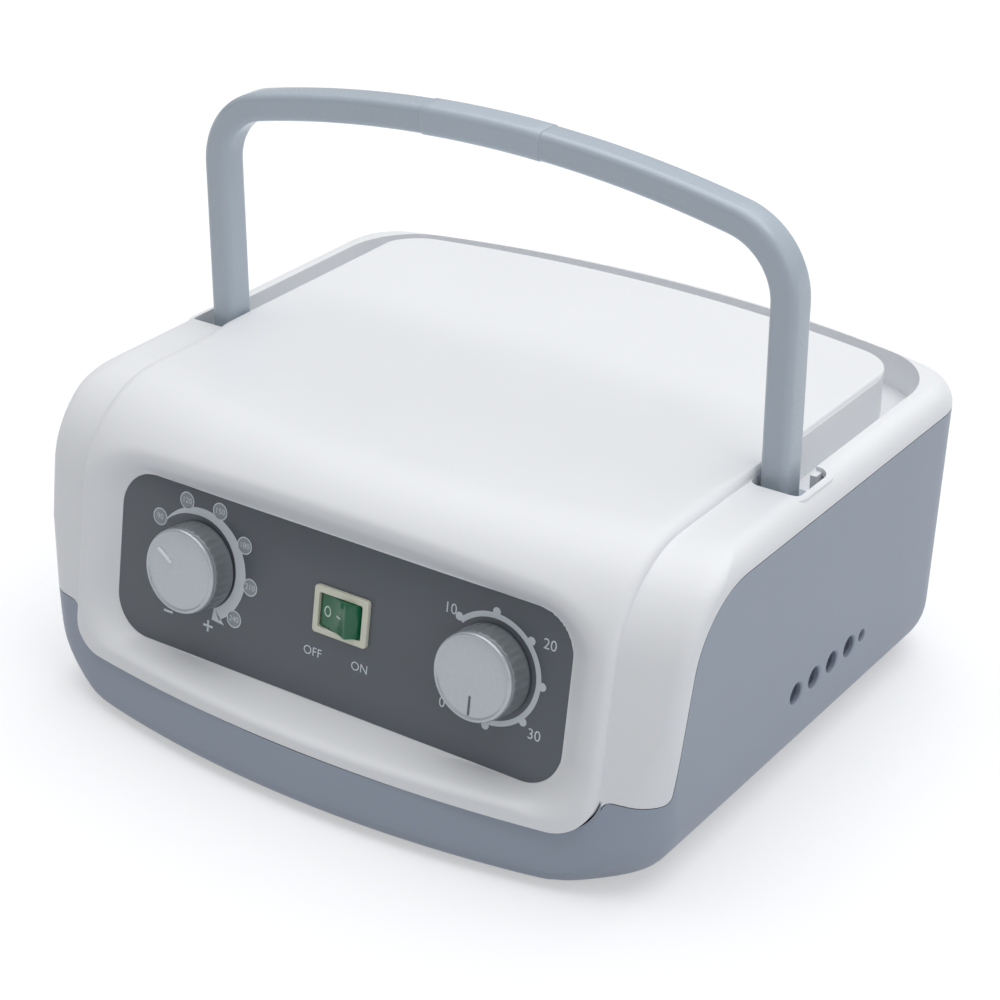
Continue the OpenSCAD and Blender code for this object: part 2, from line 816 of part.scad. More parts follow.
out_z = floor_z + outlet_z;
socket_x = half_w - (seam_z - out_z) * tan(side_draft) - outlet_len - wall;
valve_y = -outlet_y + 1.5 * outlet_pitch;
valve_x = 72;
valve_w = 46;
valve_d = 3 * outlet_pitch + 18;
valve_h = 18;
rotor_r = 1.5 * outlet_pitch + 1.6;
inner_floor = floor_z + wall;
barb_r = 2.8;
barb_len = 6;
hose_wall = 1.2;

module outlet_fittings() color("lightgray") {
    for (i = [0:3])
        translate([socket_x, -outlet_y + i * outlet_pitch, out_z]) rotate([0, -90, 0]) difference() {
            union() {
                cylinder(h = 2, r = outlet_r + 2);
                cylinder(h = 2 + barb_len, r = barb_r);
            }
            translate([0, 0, -4]) cylinder(h = 20, r = 1.6);
        }
}

module distributor_body() color("darkseagreen") {
    difference() {
        union() {
            translate([valve_x, valve_y, out_z - 2]) cube([valve_w, valve_d, valve_h - 4], center = true);
            for (i = [0:3])
                translate([valve_x + valve_w / 2 - 1, -outlet_y + i * outlet_pitch, out_z])
                    rotate([0, 90, 0]) cylinder(h = barb_len + 1, r = barb_r);
            translate([valve_x - valve_w / 2 + 1, valve_y, out_z]) rotate([0, -90, 0])
                cylinder(h = barb_len + 1, r = barb_r);
        }
        translate([valve_x, valve_y, out_z - 4]) cylinder(h = valve_h, r = rotor_r + fit);
        translate([valve_x, valve_y, out_z - valve_h]) cylinder(h = valve_h, r = 2 + turn);
        for (i = [0:3])
            translate([valve_x + 6, -outlet_y + i * outlet_pitch, out_z]) rotate([0, 90, 0])
                cylinder(h = 40, r = 1.6);
        translate([valve_x - 6, valve_y, out_z]) rotate([0, -90, 0]) cylinder(h = 40, r = 1.6);
    }
}

module distributor_cover() color("seagreen") {
    translate([valve_x, valve_y, out_z + valve_h / 2 - 4])
        linear_extrude(3) rounded_box2d(valve_w, valve_d, 4);
}

module distributor_rotor() color("orange") {
    difference() {
        union() {
            translate([valve_x, valve_y, out_z - 4 + fit]) cylinder(h = valve_h / 2 - fit * 2, r = rotor_r);
            translate([valve_x, valve_y, out_z - valve_h + 2]) cylinder(h = valve_h, r = 2);
        }
        translate([valve_x + rotor_r - 3, valve_y, out_z]) cube([8, 8, 5], center = true);
    }
}

module distributor_motor() color("darkgray") {
    z_top = out_z - valve_h / 2;
    translate([valve_x, valve_y, inner_floor]) difference() {
        union() {
            cylinder(h = z_top - inner_floor, r = 16);
            linear_extrude(2) square([44, 12], center = true);
        }
        translate([0, 0, z_top - inner_floor - 9]) cylinder(h = 12, r = 2 + fit);
    }
}

comp_x = -45;
comp_y = valve_y;
comp_w = 84;
comp_d = 62;
comp_h = 50;
mount_h = 7;
comp_z = inner_floor + mount_h + comp_h / 2;
head_len = 10;
stroke = 1.2;

module compressor_body() color("dimgray") {
    translate([comp_x, comp_y, comp_z]) difference() {
        union() {
            cube([comp_w, comp_d, comp_h], center = true);
            for (i = [-2:2])
                translate([i * 14, 0, comp_h / 2 + 2]) cube([2.4, comp_d - 8, 4], center = true);
        }
        cube([comp_w + 2, 30, 30], center = true);
    }
}

module compressor_heads() color("lightgray") {
    for (s = [-1, 1])
        translate([comp_x + s * comp_w / 2, comp_y, comp_z]) rotate([0, s * 90, 0]) difference() {
            union() {
                cylinder(h = head_len, r = 23);
                translate([0, 0, 1]) cylinder(h = head_len + 1, r = 15);
            }
            translate([0, 0, -1]) cylinder(h = head_len + 1, r = 3 + turn);
        }
    translate([comp_x + comp_w / 2 + head_len, comp_y, out_z]) rotate([0, 90, 0])
        cylinder(h = barb_len + 2, r = barb_r);
}

module compressor_armature() color("firebrick") {
    translate([comp_x, comp_y, comp_z]) {
        cube([comp_w - 16, 28, 28], center = true);
        rotate([0, 90, 0]) cylinder(h = comp_w + 2 * (head_len - 1 - stroke) - 2, r = 3, center = true);
    }
}

module compressor_mounts() color("black") {
    for (sx = [-1, 1], sy = [-1, 1])
        translate([comp_x + sx * (comp_w / 2 - 10), comp_y + sy * (comp_d / 2 - 9), inner_floor])
            cylinder(h = mount_h, r = 6.5);
}

module air_hoses() color("whitesmoke") {
    x_a = valve_x + valve_w / 2 + 1.5;
    x_b = socket_x - 2 - 0.5;
    for (i = [0:3])
        translate([x_a, -outlet_y + i * outlet_pitch, out_z]) rotate([0, 90, 0])
            tube(x_b - x_a, barb_r + hose_wall, barb_r + 0.1);
    x_c = comp_x + comp_w / 2 + head_len + 2.5;
    x_d = valve_x - valve_w / 2 - 1.5;
    translate([x_c, comp_y, out_z]) rotate([0, 90, 0]) tube(x_d - x_c, barb_r + hose_wall, barb_r + 0.1);
}

// ---------------------------------------------------------------- electrics

board_z = inner_floor + 11;

module circuit_board() color("forestgreen") {
    translate([0, -48, board_z + 0.8]) cube([110, 34, 1.6], center = true);
}

module board_standoffs() color("white") {
    for (sx = [-1, 1], sy = [-1, 1])
        translate([sx * 50, -48 + sy * 12, inner_floor]) cylinder(h = board_z - inner_floor, r = 3);
}

module board_parts() color("midnightblue") {
    translate([-30, -48, board_z + 1.6]) cylinder(h = 16, r = 6);
    translate([-14, -48, board_z + 1.6]) cylinder(h = 12, r = 4.5);
    translate([6, -56, board_z + 1.6]) cube([18, 14, 10]);
    translate([32, -58, board_z + 1.6]) cube([14, 18, 3]);
}

module transformer() color("peru") {
    translate([-22, 68, inner_floor]) {
        translate([0, 0, 15]) cube([38, 30, 30], center = true);
        translate([0, 0, 15]) cube([26, 42, 20], center = true);
    }
}

fuse_x = -12;
fuse_r = 6;
fuse_lip = 1.8;
pad_y = inlet_face_y - 2;                 // flat inside face of the inlet pad

module power_inlet() color("black") {
    difference() {
        union() {
            translate([inlet_x, pad_y - 1.25, inlet_mid_z]) cube([inlet_w + 6, 2.5, inlet_h + 6], center = true);
            translate([inlet_x, pad_y - 8, inlet_mid_z]) cube([inlet_w - 2 * fit, 24, inlet_h - 2 * fit], center = true);
        }
        translate([inlet_x, pad_y + 4, inlet_mid_z]) cube([inlet_w - 4, 32, inlet_h - 4], center = true);
        blades(0.1);
    }
}

module blades(extra) {
    for (q = [[-7, -1.5], [0, 2], [7, -1.5]])
        translate([inlet_x + q[0], pad_y - 12, inlet_mid_z + q[1]])
            cube([2 + 2 * extra, 22, 4 + 2 * extra], center = true);
}

module inlet_pins() color("silver") {
    blades(0);
}

module fuse_carrier() color("black") {
    translate([fuse_x, back_y + 0.1, inlet_mid_z]) rotate([90, 0, 0]) {
        translate([0, 0, -fuse_lip]) difference() {
            cylinder(h = fuse_lip, r = 8);
            translate([0, 0, -1]) linear_extrude(1.8) square([10, 1.4], center = true);
        }
        cylinder(h = 26, r = fuse_r);
    }
}

// ---------------------------------------------------------------- intake, feet and screws

module air_filter() color("darkslategray") {
    translate([filter_x, filter_y, inner_floor + 1.6]) cylinder(h = 7, r = filter_r + 0.5);
}

module filter_cover() color("slategray") {
    translate([filter_x, filter_y, floor_z]) difference() {
        union() {
            cylinder(h = wall + 1, r = filter_r - fit);
            translate([0, 0, wall]) cylinder(h = 1.6, r = filter_r + 2);
        }
        for (i = [-2:2]) translate([i * 4.4, 0, 0]) cube([1.8, 18 - abs(i) * 2.5, 20], center = true);
    }
}

module rubber_feet() color("black") {
    for (sx = [-1, 1], sy = [-1, 1])
        translate([sx * 88, sy * 80, 0]) cylinder(h = foot_h, r = 9);
}

module housing_screws() color("silver") {
    for (p = screw_spots) translate([p[0], p[1], head_z - 2.4]) {
        difference() {
            cylinder(h = 2.4, r = head_r);
            translate([0, 0, -1]) linear_extrude(2.2) square([3.6, 0.8], center = true);
            translate([0, 0, -1]) linear_extrude(2.2) square([0.8, 3.6], center = true);
        }
        translate([0, 0, 2]) cylinder(h = 18, r = screw_r);
    }
}

base_shell();
top_shell();
control_panel();
switch_frame();
switch_rocker();
switch_terminals();
pressure_knob();
pressure_knob_cap();
regulator_shaft();
regulator_body();
timer_knob();
timer_knob_cap();
timer_shaft();
timer_body();
panel_nuts();
handle();
handle_grip_cover();
hinge_pins();
hinge_spacers();
outlet_fittings();
air_hoses();
distributor_body();
distributor_cover();
distributor_rotor();
distributor_motor();
compressor_body();
compressor_heads();
compressor_armature();
compressor_mounts();
circuit_board();
board_standoffs();
board_parts();
transformer();
power_inlet();
inlet_pins();
fuse_carrier();
air_filter();
filter_cover();
rubber_feet();
housing_screws();
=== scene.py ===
# %% [markdown]
# # A compression therapy pump
# This table-top air pump fills a therapy sleeve. Its housing is two mouldings: a white upper
# cover that wraps over the top and down the front, and a blue-grey lower housing. A folding
# handle stands in two slots, and a dark recessed panel carries two dials and a rocker switch.
# The solids come in already in place. This script gives them their looks, in the same frame.

# %% Load the solids
import math

import bmesh
import bpy
import numpy as np
from mathutils import Euler, Matrix, Vector


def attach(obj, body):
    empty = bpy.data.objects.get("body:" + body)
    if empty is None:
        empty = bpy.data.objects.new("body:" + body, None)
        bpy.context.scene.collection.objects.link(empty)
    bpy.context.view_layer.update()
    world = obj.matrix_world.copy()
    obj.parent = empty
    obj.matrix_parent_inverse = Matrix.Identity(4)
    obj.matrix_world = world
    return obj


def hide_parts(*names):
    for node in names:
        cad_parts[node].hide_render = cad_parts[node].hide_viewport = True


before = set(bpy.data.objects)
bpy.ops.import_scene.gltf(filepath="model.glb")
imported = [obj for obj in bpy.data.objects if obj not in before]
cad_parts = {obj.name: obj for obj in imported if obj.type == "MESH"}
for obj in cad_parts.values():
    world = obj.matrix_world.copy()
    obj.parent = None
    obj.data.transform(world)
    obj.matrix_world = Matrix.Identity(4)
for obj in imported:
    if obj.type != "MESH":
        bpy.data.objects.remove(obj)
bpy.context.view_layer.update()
MM = 0.001

# %% [markdown]
# ## The camera
# The photograph was taken from the front right and above. A camera fitted to it gives its
# place, its direction and a lens of about 91 mm on a 36 mm film.

# %% The camera
CAMERA_AT = Vector((451.94, -655.65, 472.73)) * MM
CAMERA_TURN, CAMERA_DOWN, CAMERA_ROLL = 34.619, 27.207, 0.115
look = Euler((math.radians(90 - CAMERA_DOWN), 0, math.radians(CAMERA_TURN))).to_matrix()
look = look @ Matrix.Rotation(math.radians(CAMERA_ROLL), 3, "Z")
film = bpy.data.cameras.new("photo_view")
film.lens, film.sensor_width, film.clip_end = 91.364, 36.0, 20.0
camera = bpy.data.objects.new("photo_view", film)
camera.matrix_world = Matrix.Translation(CAMERA_AT) @ look.to_4x4()
bpy.context.scene.collection.objects.link(camera)
bpy.context.scene.camera = camera
bpy.context.scene.view_settings.view_transform = "Standard"

# %% [markdown]
# ## Sizes and small helpers
# All sizes are millimetres until a mesh is made. A point on the control panel is given as
# u across, v up the panel and w out of it, because the panel leans back with the face.

# %% Sizes of the housing
FLOOR, LEDGE, FIELD_RISE, SEAM = 2.0, 109.0, 3.0, 100.5
HALF_W, FRONT, BACK, BOW, TAIL_BOW = 130.0, -119.5, 119.5, 550.0, 400.0
BOW_Y, TAIL_Y = FRONT + BOW, BACK - TAIL_BOW
LEAN = math.radians(9.8)
TAN, COS, SIN = math.tan(LEAN), math.cos(LEAN), math.sin(LEAN)
BROW_R, LEDGE_R, WALL, FIELD_HALF = 36.5, 8.5, 2.6, 107.7
PANEL_Y, PANEL_Z, PANEL_W, PANEL_H, PANEL_R = -102.4174, 30.4, 183.6, 59.2, 14.0
CONTROL_V, PRESSURE_U, TIMER_U, SWITCH_U = 33.4, -56.4, 62.8, 4.2
PIN_Y, PIN_Z, LEG_X, LEG_Y, TROUGH_Z = -1.8, 95.5, 113.9, -8.2, 95.2


def panel(u, v, w=0.0):
    return (u, PANEL_Y + v * SIN - w * COS, PANEL_Z + v * COS + w * SIN)


# %% Helpers that make and finish meshes
def mesh_piece(name, points_mm, faces, tidy=False):
    mesh = bpy.data.meshes.new(name)
    mesh.from_pydata([tuple(c * MM for c in p) for p in points_mm], [], [tuple(map(int, f)) for f in faces])
    piece = bpy.data.objects.new(name, mesh)
    bpy.context.scene.collection.objects.link(piece)
    if tidy:
        bm = bmesh.new()
        bm.from_mesh(mesh)
        bmesh.ops.remove_doubles(bm, verts=bm.verts, dist=1e-6)
        bmesh.ops.recalc_face_normals(bm, faces=bm.faces)
        bm.to_mesh(mesh)
        bm.free()
    return piece


def only(piece):
    bpy.ops.object.select_all(action="DESELECT")
    bpy.context.view_layer.objects.active = piece
    piece.select_set(True)


def stack(rings, closed_ends=True):
    """Points and faces of a solid from closed rings of equal length, lowest first."""
    n = len(rings[0])
    points = [p for ring in rings for p in ring]
    faces = []
    for i in range(len(rings) - 1):
        for j in range(n):
            k = (j + 1) % n
            faces.append((i * n + j, i * n + k, (i + 1) * n + k, (i + 1) * n + j))
    if closed_ends:
        faces.append(tuple(range(n - 1, -1, -1)))
        faces.append(tuple((len(rings) - 1) * n + j for j in range(n)))
    return points, faces


def prism(name, outline, low, high, axis="z"):
    """A straight solid over a flat outline, along z, y or x."""
    place = {
        "z": lambda a, b, c: (a, b, c),
        "y": lambda a, b, c: (a, c, b),
        "x": lambda a, b, c: (c, a, b),
    }[axis]
    points, faces = stack([[place(a, b, low) for a, b in outline], [place(a, b, high) for a, b in outline]])
    return mesh_piece(name, points, faces, tidy=True)


def combine(piece, tool, how="DIFFERENCE"):
    step = piece.modifiers.new("shape", "BOOLEAN")
    step.operation, step.object, step.solver = how, tool, "MANIFOLD"
    only(piece)
    bpy.ops.object.modifier_apply(modifier=step.name)
    bpy.data.objects.remove(tool)
    return piece


def join(name, pieces):
    only(pieces[0])
    for other in pieces[1:]:
        other.select_set(True)
    bpy.ops.object.join()
    pieces[0].name = pieces[0].data.name = name
    return pieces[0]


def smooth(piece, degrees=30):
    only(piece)
    bpy.ops.object.shade_smooth_by_angle(angle=math.radians(degrees))
    return piece


def settle(piece, body, slot, *nodes):
    """The piece rides on a body and stands for the named solids; the slot argument is not used."""
    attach(piece, body)
    if nodes:
        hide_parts(*nodes)
    print(piece.name, "faces:", len(piece.data.polygons))
    return piece


def arc(cx, cy, r, a0, a1, n):
    return [(cx + r * math.cos(math.radians(a0 + (a1 - a0) * i / n)),
             cy + r * math.sin(math.radians(a0 + (a1 - a0) * i / n))) for i in range(n + 1)]


# %% [markdown]
# ## The form of the housing
# At every height the housing is a rounded shape in plan: a front bowed to a radius of 550 mm,
# two drafted sides and a bowed back. So its skin is a stack of such outlines. The outlines draw
# in where the face rolls into the top, where the sides roll over, and where the corners tuck in
# below. Modelling it as a stack keeps every highlight smooth, which cutting a block would not.

# %% Outline of the housing at one height
CORNER_HEIGHTS, CORNER_RADII = [20, 36, 60, 88, 109], [20, 13, 5, 5, 8]
TUCK_R, TUCK_TOP, TUCK_CORNER = 45.0, FLOOR + 33.8, 20.0
DRAFT = math.tan(math.radians(2.6))


def housing_outline(z, grow=0.0, lower=False):
    top, zu = LEDGE + grow, LEDGE - LEDGE_R
    r_top = BROW_R + grow
    zc = top - r_top
    base = BOW + grow / COS
    middle = base - (zc - FLOOR) * TAN - r_top / COS
    if z <= zc + r_top * SIN:
        rf = base - (z - FLOOR) * TAN
    else:
        rf = middle + math.sqrt(max(r_top**2 - (z - zc) ** 2, 0))
    r_side = LEDGE_R + grow
    roll = r_side - math.sqrt(max(r_side**2 - max(z - zu, 0) ** 2, 0))
    hx = HALF_W + grow - roll - max(zu - z, 0) * DRAFT
    rb = TAIL_BOW + grow - roll
    front_corner = float(np.interp(z, CORNER_HEIGHTS, CORNER_RADII)) + grow
    rear_corner = 25 + grow - roll
    if lower:
        def under(r):
            rise = max(FLOOR - grow + r - z, 0)
            return r - math.sqrt(max(r * r - rise * rise, 0))
        rf -= under(6.0)
        hx -= under(20.0)
        rb -= under(3.0)
    right = []
    cx = hx - front_corner
    cy = BOW_Y - math.sqrt((rf - front_corner) ** 2 - cx**2)
    turn = math.atan2(cx, BOW_Y - cy)
    for i in range(48):
        a = turn * i / 48
        x = rf * math.sin(a)
        swell = FIELD_RISE / COS * max(1 - (x / FIELD_HALF) ** 2, 0) if lower and grow == 0 else 0
        right.append((x, BOW_Y - rf * math.cos(a) - swell))
    start = math.degrees(turn) - 90
    right += arc(cx, cy, front_corner, start, 0, 22)
    ccx = hx - rear_corner
    ccy = TAIL_Y + math.sqrt((rb - rear_corner) ** 2 - ccx**2)
    right += [(hx, cy + (ccy - cy) * i / 10) for i in range(1, 10)]
    lean = math.degrees(math.atan2(ccy - TAIL_Y, ccx))
    right += arc(ccx, ccy, rear_corner, 0, lean, 16)
    right += [(rb * math.cos(math.radians(lean + (90 - lean) * i / 32)),
               TAIL_Y + rb * math.sin(math.radians(lean + (90 - lean) * i / 32))) for i in range(1, 33)]
    deep = TUCK_TOP - z
    if lower and deep > 0:
        tip_x = HALF_W - TUCK_CORNER
        tip_y = BOW_Y - math.sqrt((BOW - TUCK_CORNER) ** 2 - tip_x**2)
        limit = TUCK_CORNER - TUCK_R + math.sqrt((TUCK_R + grow) ** 2 - deep**2)
        ease = 0.15 + 0.05 * deep
        for k, (x, y) in enumerate(right):
            over = ((x - tip_x) - (y - tip_y)) * math.sqrt(0.5) - limit
            back = ease * math.log1p(math.exp(min(over / ease, 60)))
            right[k] = (x - back * math.sqrt(0.5) * min(x / 20, 1), y + back * math.sqrt(0.5))
    left = [(-x, y) for x, y in right[-2:0:-1]]
    return right + left


def housing_skin(name, heights, grow=0.0, lower=False):
    rings = [[(x, y, z) for x, y in housing_outline(z, grow, lower)] for z in heights]
    points, faces = stack(rings)
    return mesh_piece(name, points, faces)


def heights_up(grow, start):
    top = LEDGE + grow
    r_top, r_side = BROW_R + grow, LEDGE_R + grow
    levels = {start, 40.0, 60.0}
    levels |= {top - r_top + r_top * math.sin(math.radians(a)) for a in np.linspace(9.8, 90, 19)}
    levels |= {LEDGE - LEDGE_R + r_side * math.sin(math.radians(a)) for a in np.linspace(0, 90, 13)}
    levels = sorted(levels)
    return [z for k, z in enumerate(levels) if k == 0 or z - levels[k - 1] > 0.004]


# %% Outline of the folded handle, which the channel in the top follows
YO = 208 + PIN_Y - PIN_Z
BEND_X, BEND_Y = 88.9, YO - 39.5
ARCH_R = (BEND_X**2 + 39.5**2 - 30**2) / (2 * (39.5 - 30))
ARCH_LEAN = math.degrees(math.asin(BEND_X / (ARCH_R - 30)))


def handle_outline(grow, y_from, bend_steps=14, arch_steps=40):
    """Open line from the right foot round the bend and the arch to the left foot."""
    line = [(LEG_X + 5 + grow, y_from)]
    line += arc(BEND_X, BEND_Y, 30 + grow, 0, 90 - ARCH_LEAN, bend_steps)
    line += arc(0, YO - ARCH_R, ARCH_R + grow, 90 - ARCH_LEAN, 90 + ARCH_LEAN, arch_steps)[1:-1]
    line += [(-x, y) for x, y in arc(BEND_X, BEND_Y, 30 + grow, 0, 90 - ARCH_LEAN, bend_steps)[::-1]]
    return line + [(-LEG_X - 5 - grow, y_from)]


# %% Side view of the grey zone, and front view of the white lip
def grey_zone(name, gap):
    top = SEAM - gap
    r = BROW_R - LEDGE_R + 0.8 - gap
    yc = FRONT + (top - r - FLOOR) * TAN + (r + gap) / COS + 22
    zc, turn_z = top - r, FLOOR + 32.8 - gap
    line_y = yc - r * COS - (zc + r * SIN - turn_z - 3.5 * (1 - SIN)) * TAN
    side = [(300, -1), (300, top)] + arc(yc, zc, r, 90, 180 - 9.8, 24)
    side += arc(line_y - 3.5 * COS, turn_z + 3.5, 3.5, -9.8, -90, 8) + [(-300, turn_z), (-300, -1)]
    zone = prism(name, side, -145, 145, "x")
    hw, low, up = FIELD_HALF + 0.4 + gap, FLOOR + 20.0 - gap, FLOOR + 32.8
    half = [(hw + 4, up + 8), (hw + 4, up)] + arc(hw + 4, up - 4, 4, 90, 180, 8)[1:]
    half += arc(hw - 15, low + 15, 15, 0, -90, 14)
    lip = prism("lip", half + [(-x, z) for x, z in half[::-1]], -160, -70, "y")
    return combine(zone, lip)


# %% [markdown]
# ## The white cover
# The cover is moulded ABS with a raised field in the middle that sweeps over the top, down the
# front and round the panel. Its side steps are soft and the recess has wide rounded shoulders.
# The field is modelled as a fine sheet on the rolled face, pushed in round the panel, and then
# thickened and trimmed along the joint. The ledges beside it are cut from the housing's skin.

# %% The raised field as a sheet
def smoothstep(a, b, x):
    t = np.clip((x - a) / (b - a), 0, 1)
    return t * t * (3 - 2 * t)


edge_steps = [0.0, 0.12, 0.45, 1.0, 1.7, 2.5, 3.4, 4.4, 5.4]
inner = FIELD_HALF - edge_steps[-1]
columns = np.array([-FIELD_HALF + s for s in edge_steps[:-1]]
                   + list(np.linspace(-inner, inner, 166)) + [FIELD_HALF - s for s in edge_steps[-2::-1]])
zc = LEDGE - BROW_R
core = BOW - (zc - FLOOR) * TAN - BROW_R / COS
rows = []
for z in list(np.arange(12, 21, 1.5)) + list(np.arange(21, 34, 0.7)) + list(np.arange(34, 78, 1.25)):
    rows.append((BOW - (z - FLOOR) * TAN, z, COS, SIN))
for a in np.radians(np.linspace(9.8, 90, 48)):
    rows.append((core + BROW_R * math.cos(a), zc + BROW_R * math.sin(a), math.cos(a), math.sin(a)))
top_steps = list(np.arange(core - 3, 436, -6)) + list(np.arange(436, 400, -2.5))
for r in top_steps + list(np.arange(400, 318, -10)):
    rows.append((r, LEDGE, 0.0, 1.0))
X, R = np.meshgrid(columns, [r[0] for r in rows])
_, Z = np.meshgrid(columns, [r[1] for r in rows])
_, NR = np.meshgrid(columns, [r[2] for r in rows])
_, NZ = np.meshgrid(columns, [r[3] for r in rows])
depth = np.sqrt(R**2 - X**2)
Y = BOW_Y - depth
soft = 1.3 + 3.7 * (1 - smoothstep(-34, -16, Y))
t = FIELD_HALF - np.abs(X)
lift = FIELD_RISE * np.sqrt(np.clip(1 - (np.clip(soft - t, 0, None) / soft) ** 2, 0, 1))
X = X + lift * NR * X / R
Y = Y - lift * NR * depth / R
Z = Z + lift * NZ

# %% The recess round the panel
v = (Y - PANEL_Y) * SIN + (Z - PANEL_Z) * COS
w = -(Y - PANEL_Y) * COS + (Z - PANEL_Z) * SIN
qx = np.abs(X) - (PANEL_W / 2 - PANEL_R)
qy = v - PANEL_H / 2
sy = np.sign(qy)
qy = np.abs(qy) - (PANEL_H / 2 - PANEL_R)
away = np.hypot(np.clip(qx, 0, None), np.clip(qy, 0, None)) + np.minimum(np.maximum(qx, qy), 0) - PANEL_R
norm = np.hypot(np.clip(qx, 1e-6, None), np.clip(qy, 1e-6, None))
mu, mv = np.clip(qx, 1e-6, None) / norm, sy * np.clip(qy, 1e-6, None) / norm
reach = mu**2 * 2.0 + np.clip(mv, 0, None) ** 2 * 1.05 + np.clip(-mv, 0, None) ** 2 * 0.42
shoulder = -0.25 + np.clip(away - 0.3, 0, None) / reach
K = 3.5 + 2.0 * np.clip(mv, 0, None) ** 2
h = np.clip(0.5 + 0.5 * (w - shoulder) / K, 0, 1)
sunk = w * (1 - h) + shoulder * h - K * h * (1 - h)
sunk = np.where((away < 45) & (w > -1) & (Z < 108), np.minimum(sunk, w), w)
sunk = np.where(away < 1.5, np.maximum(sunk, -0.25), sunk)
X, Y, Z = X, Y - (sunk - w) * COS, Z + (sunk - w) * SIN
skirt = np.array([1.0] + [0.0] * (X.shape[1] - 2) + [1.0])
Z = Z - skirt * 2.4 * NZ[:, :]
Y = Y + skirt * 2.4 * NR[:, :]
n_row, n_col = X.shape
points = np.stack([X, Y, Z], -1).reshape(-1, 3)
open_part = (away < -1.6) & (w < 40) & (w > -10)
faces = []
for i in range(n_row - 1):
    for j in range(n_col - 1):
        if open_part[i, j] and open_part[i, j + 1] and open_part[i + 1, j] and open_part[i + 1, j + 1]:
            continue
        a = i * n_col + j
        faces.append((a, a + 1, a + n_col + 1, a + n_col))
field = mesh_piece("field", points, faces)
bm = bmesh.new()
bm.from_mesh(field.data)
bmesh.ops.delete(bm, geom=[p for p in bm.verts if not p.link_faces], context="VERTS")
bm.to_mesh(field.data)
bm.free()
thick = field.modifiers.new("wall", "SOLIDIFY")
thick.thickness, thick.offset = 2.2 * MM, -1
only(field)
bpy.ops.object.modifier_apply(modifier=thick.name)
print("field sheet:", len(field.data.polygons))

# %% Trim the field along the joint and along the handle channel
combine(field, grey_zone("grey", 0.0))
line = handle_outline(-11.15, 20)
beyond = [(260, 20), (260, 200), (-260, 200), (-260, 20)] + line[::-1]
combine(field, prism("beyond", beyond, 60, 140))
print("trimmed field:", len(field.data.polygons))

# %% The ledges beside the field
ledges = housing_skin("ledges", heights_up(0, 12.0))
combine(ledges, housing_skin("inside", [z for z in heights_up(-WALL, 5.0)], -WALL))
combine(ledges, grey_zone("grey", 0.0))
combine(ledges, prism("under_field", [(-106.9, -200), (106.9, -200), (106.9, 30), (-106.9, 30)], 0, 140))
combine(ledges, prism("channel", handle_outline(1.2, 0.0), 60, 140))


def rounded_box(cx, cy, wide, deep, r, n=8):
    line = []
    for qx_, qy_, a0 in ((1, 1, 0), (-1, 1, 90), (-1, -1, 180), (1, -1, 270)):
        line += arc(cx + qx_ * (wide / 2 - r), cy + qy_ * (deep / 2 - r), r, a0, a0 + 90, n)
    return line


SLOT = (107.7, 125.2, -18.4, 4.2)
for side in (-1, 1):
    middle = side * (SLOT[0] + SLOT[1]) / 2
    slot_line = rounded_box(middle, (SLOT[2] + SLOT[3]) / 2, SLOT[1] - SLOT[0], SLOT[3] - SLOT[2], 3.5)
    combine(ledges, prism("slot", slot_line, 60, 140))
print("ledges:", len(ledges.data.polygons))

# %% Walls and floor of the handle channel and its two slots
def wall_between(name, outer, inner_line, low, high):
    return prism(name, outer + inner_line[::-1], low, high)


parts = [field, ledges]
parts.append(wall_between("outer_wall", handle_outline(3.4, 0.2), handle_outline(1.23, 0.2), 93, 107.6))
parts.append(wall_between("inner_wall", handle_outline(-11.23, 0.2), handle_outline(-13.4, 0.2), 93, 110.6))
parts.append(wall_between("channel_floor", handle_outline(3.4, 0.2), handle_outline(-13.4, 0.2),
                          93, TROUGH_Z))
for side in (-1, 1):
    middle = side * (SLOT[0] + SLOT[1]) / 2
    yc = (SLOT[2] + SLOT[3]) / 2
    wide, deep = SLOT[1] - SLOT[0], SLOT[3] - SLOT[2]
    box = prism("slot_box", rounded_box(middle, yc, wide + 4.4, deep + 4.4, 5.7), 86.6, 107.7)
    combine(box, prism("slot_room", rounded_box(middle, yc, wide + 0.06, deep + 0.06, 3.5), 88.8, 140))
    way_in = [(middle - 30, 3.9), (middle + 30, 3.9), (middle + 30, 20), (middle - 30, 20)]
    combine(box, prism("way_in", way_in, TROUGH_Z, 140))
    parts.append(box)
cover = smooth(join("top_cover", parts), 32)
settle(cover, "housing", "top_shell", "top_shell")

# %% [markdown]
# ## The lower housing
# The grey moulding carries everything. Its chin swells forward to meet the raised field, its
# sills roll under, and its front corners tuck in. The skin is another stack of outlines, hollowed
# and trimmed along the joint, with the openings cut through it by plain solids.

# %% Skin and openings of the lower housing
low_levels = [FLOOR, 2.15, 2.5, 3.1, 4, 5.2, 6.6, 8, 10, 12, 14.5, 17, 19.5, 22, 25, 28, 31, 34]
low_levels += [TUCK_TOP, 45, 60, 78, 90, SEAM]
housing = housing_skin("lower_housing", low_levels, 0, True)
room = [z + WALL for z in low_levels[:-1]] + [SEAM + 6]
combine(housing, housing_skin("room", room, -WALL, True))
combine(housing, grey_zone("grey", 0.4), "INTERSECT")


def lathe(name, profile, place, turn, steps=40):
    """A closed solid from (radius, height) pairs turned round its own upright axis, then placed."""
    rings = [[(r * math.cos(2 * math.pi * k / steps), r * math.sin(2 * math.pi * k / steps), z)
              for k in range(steps)] for r, z in profile]
    points, faces = stack(rings)
    piece = mesh_piece(name, points, faces)
    piece.data.transform(Matrix.Translation(Vector(place) * MM) @ turn.to_4x4())
    return piece


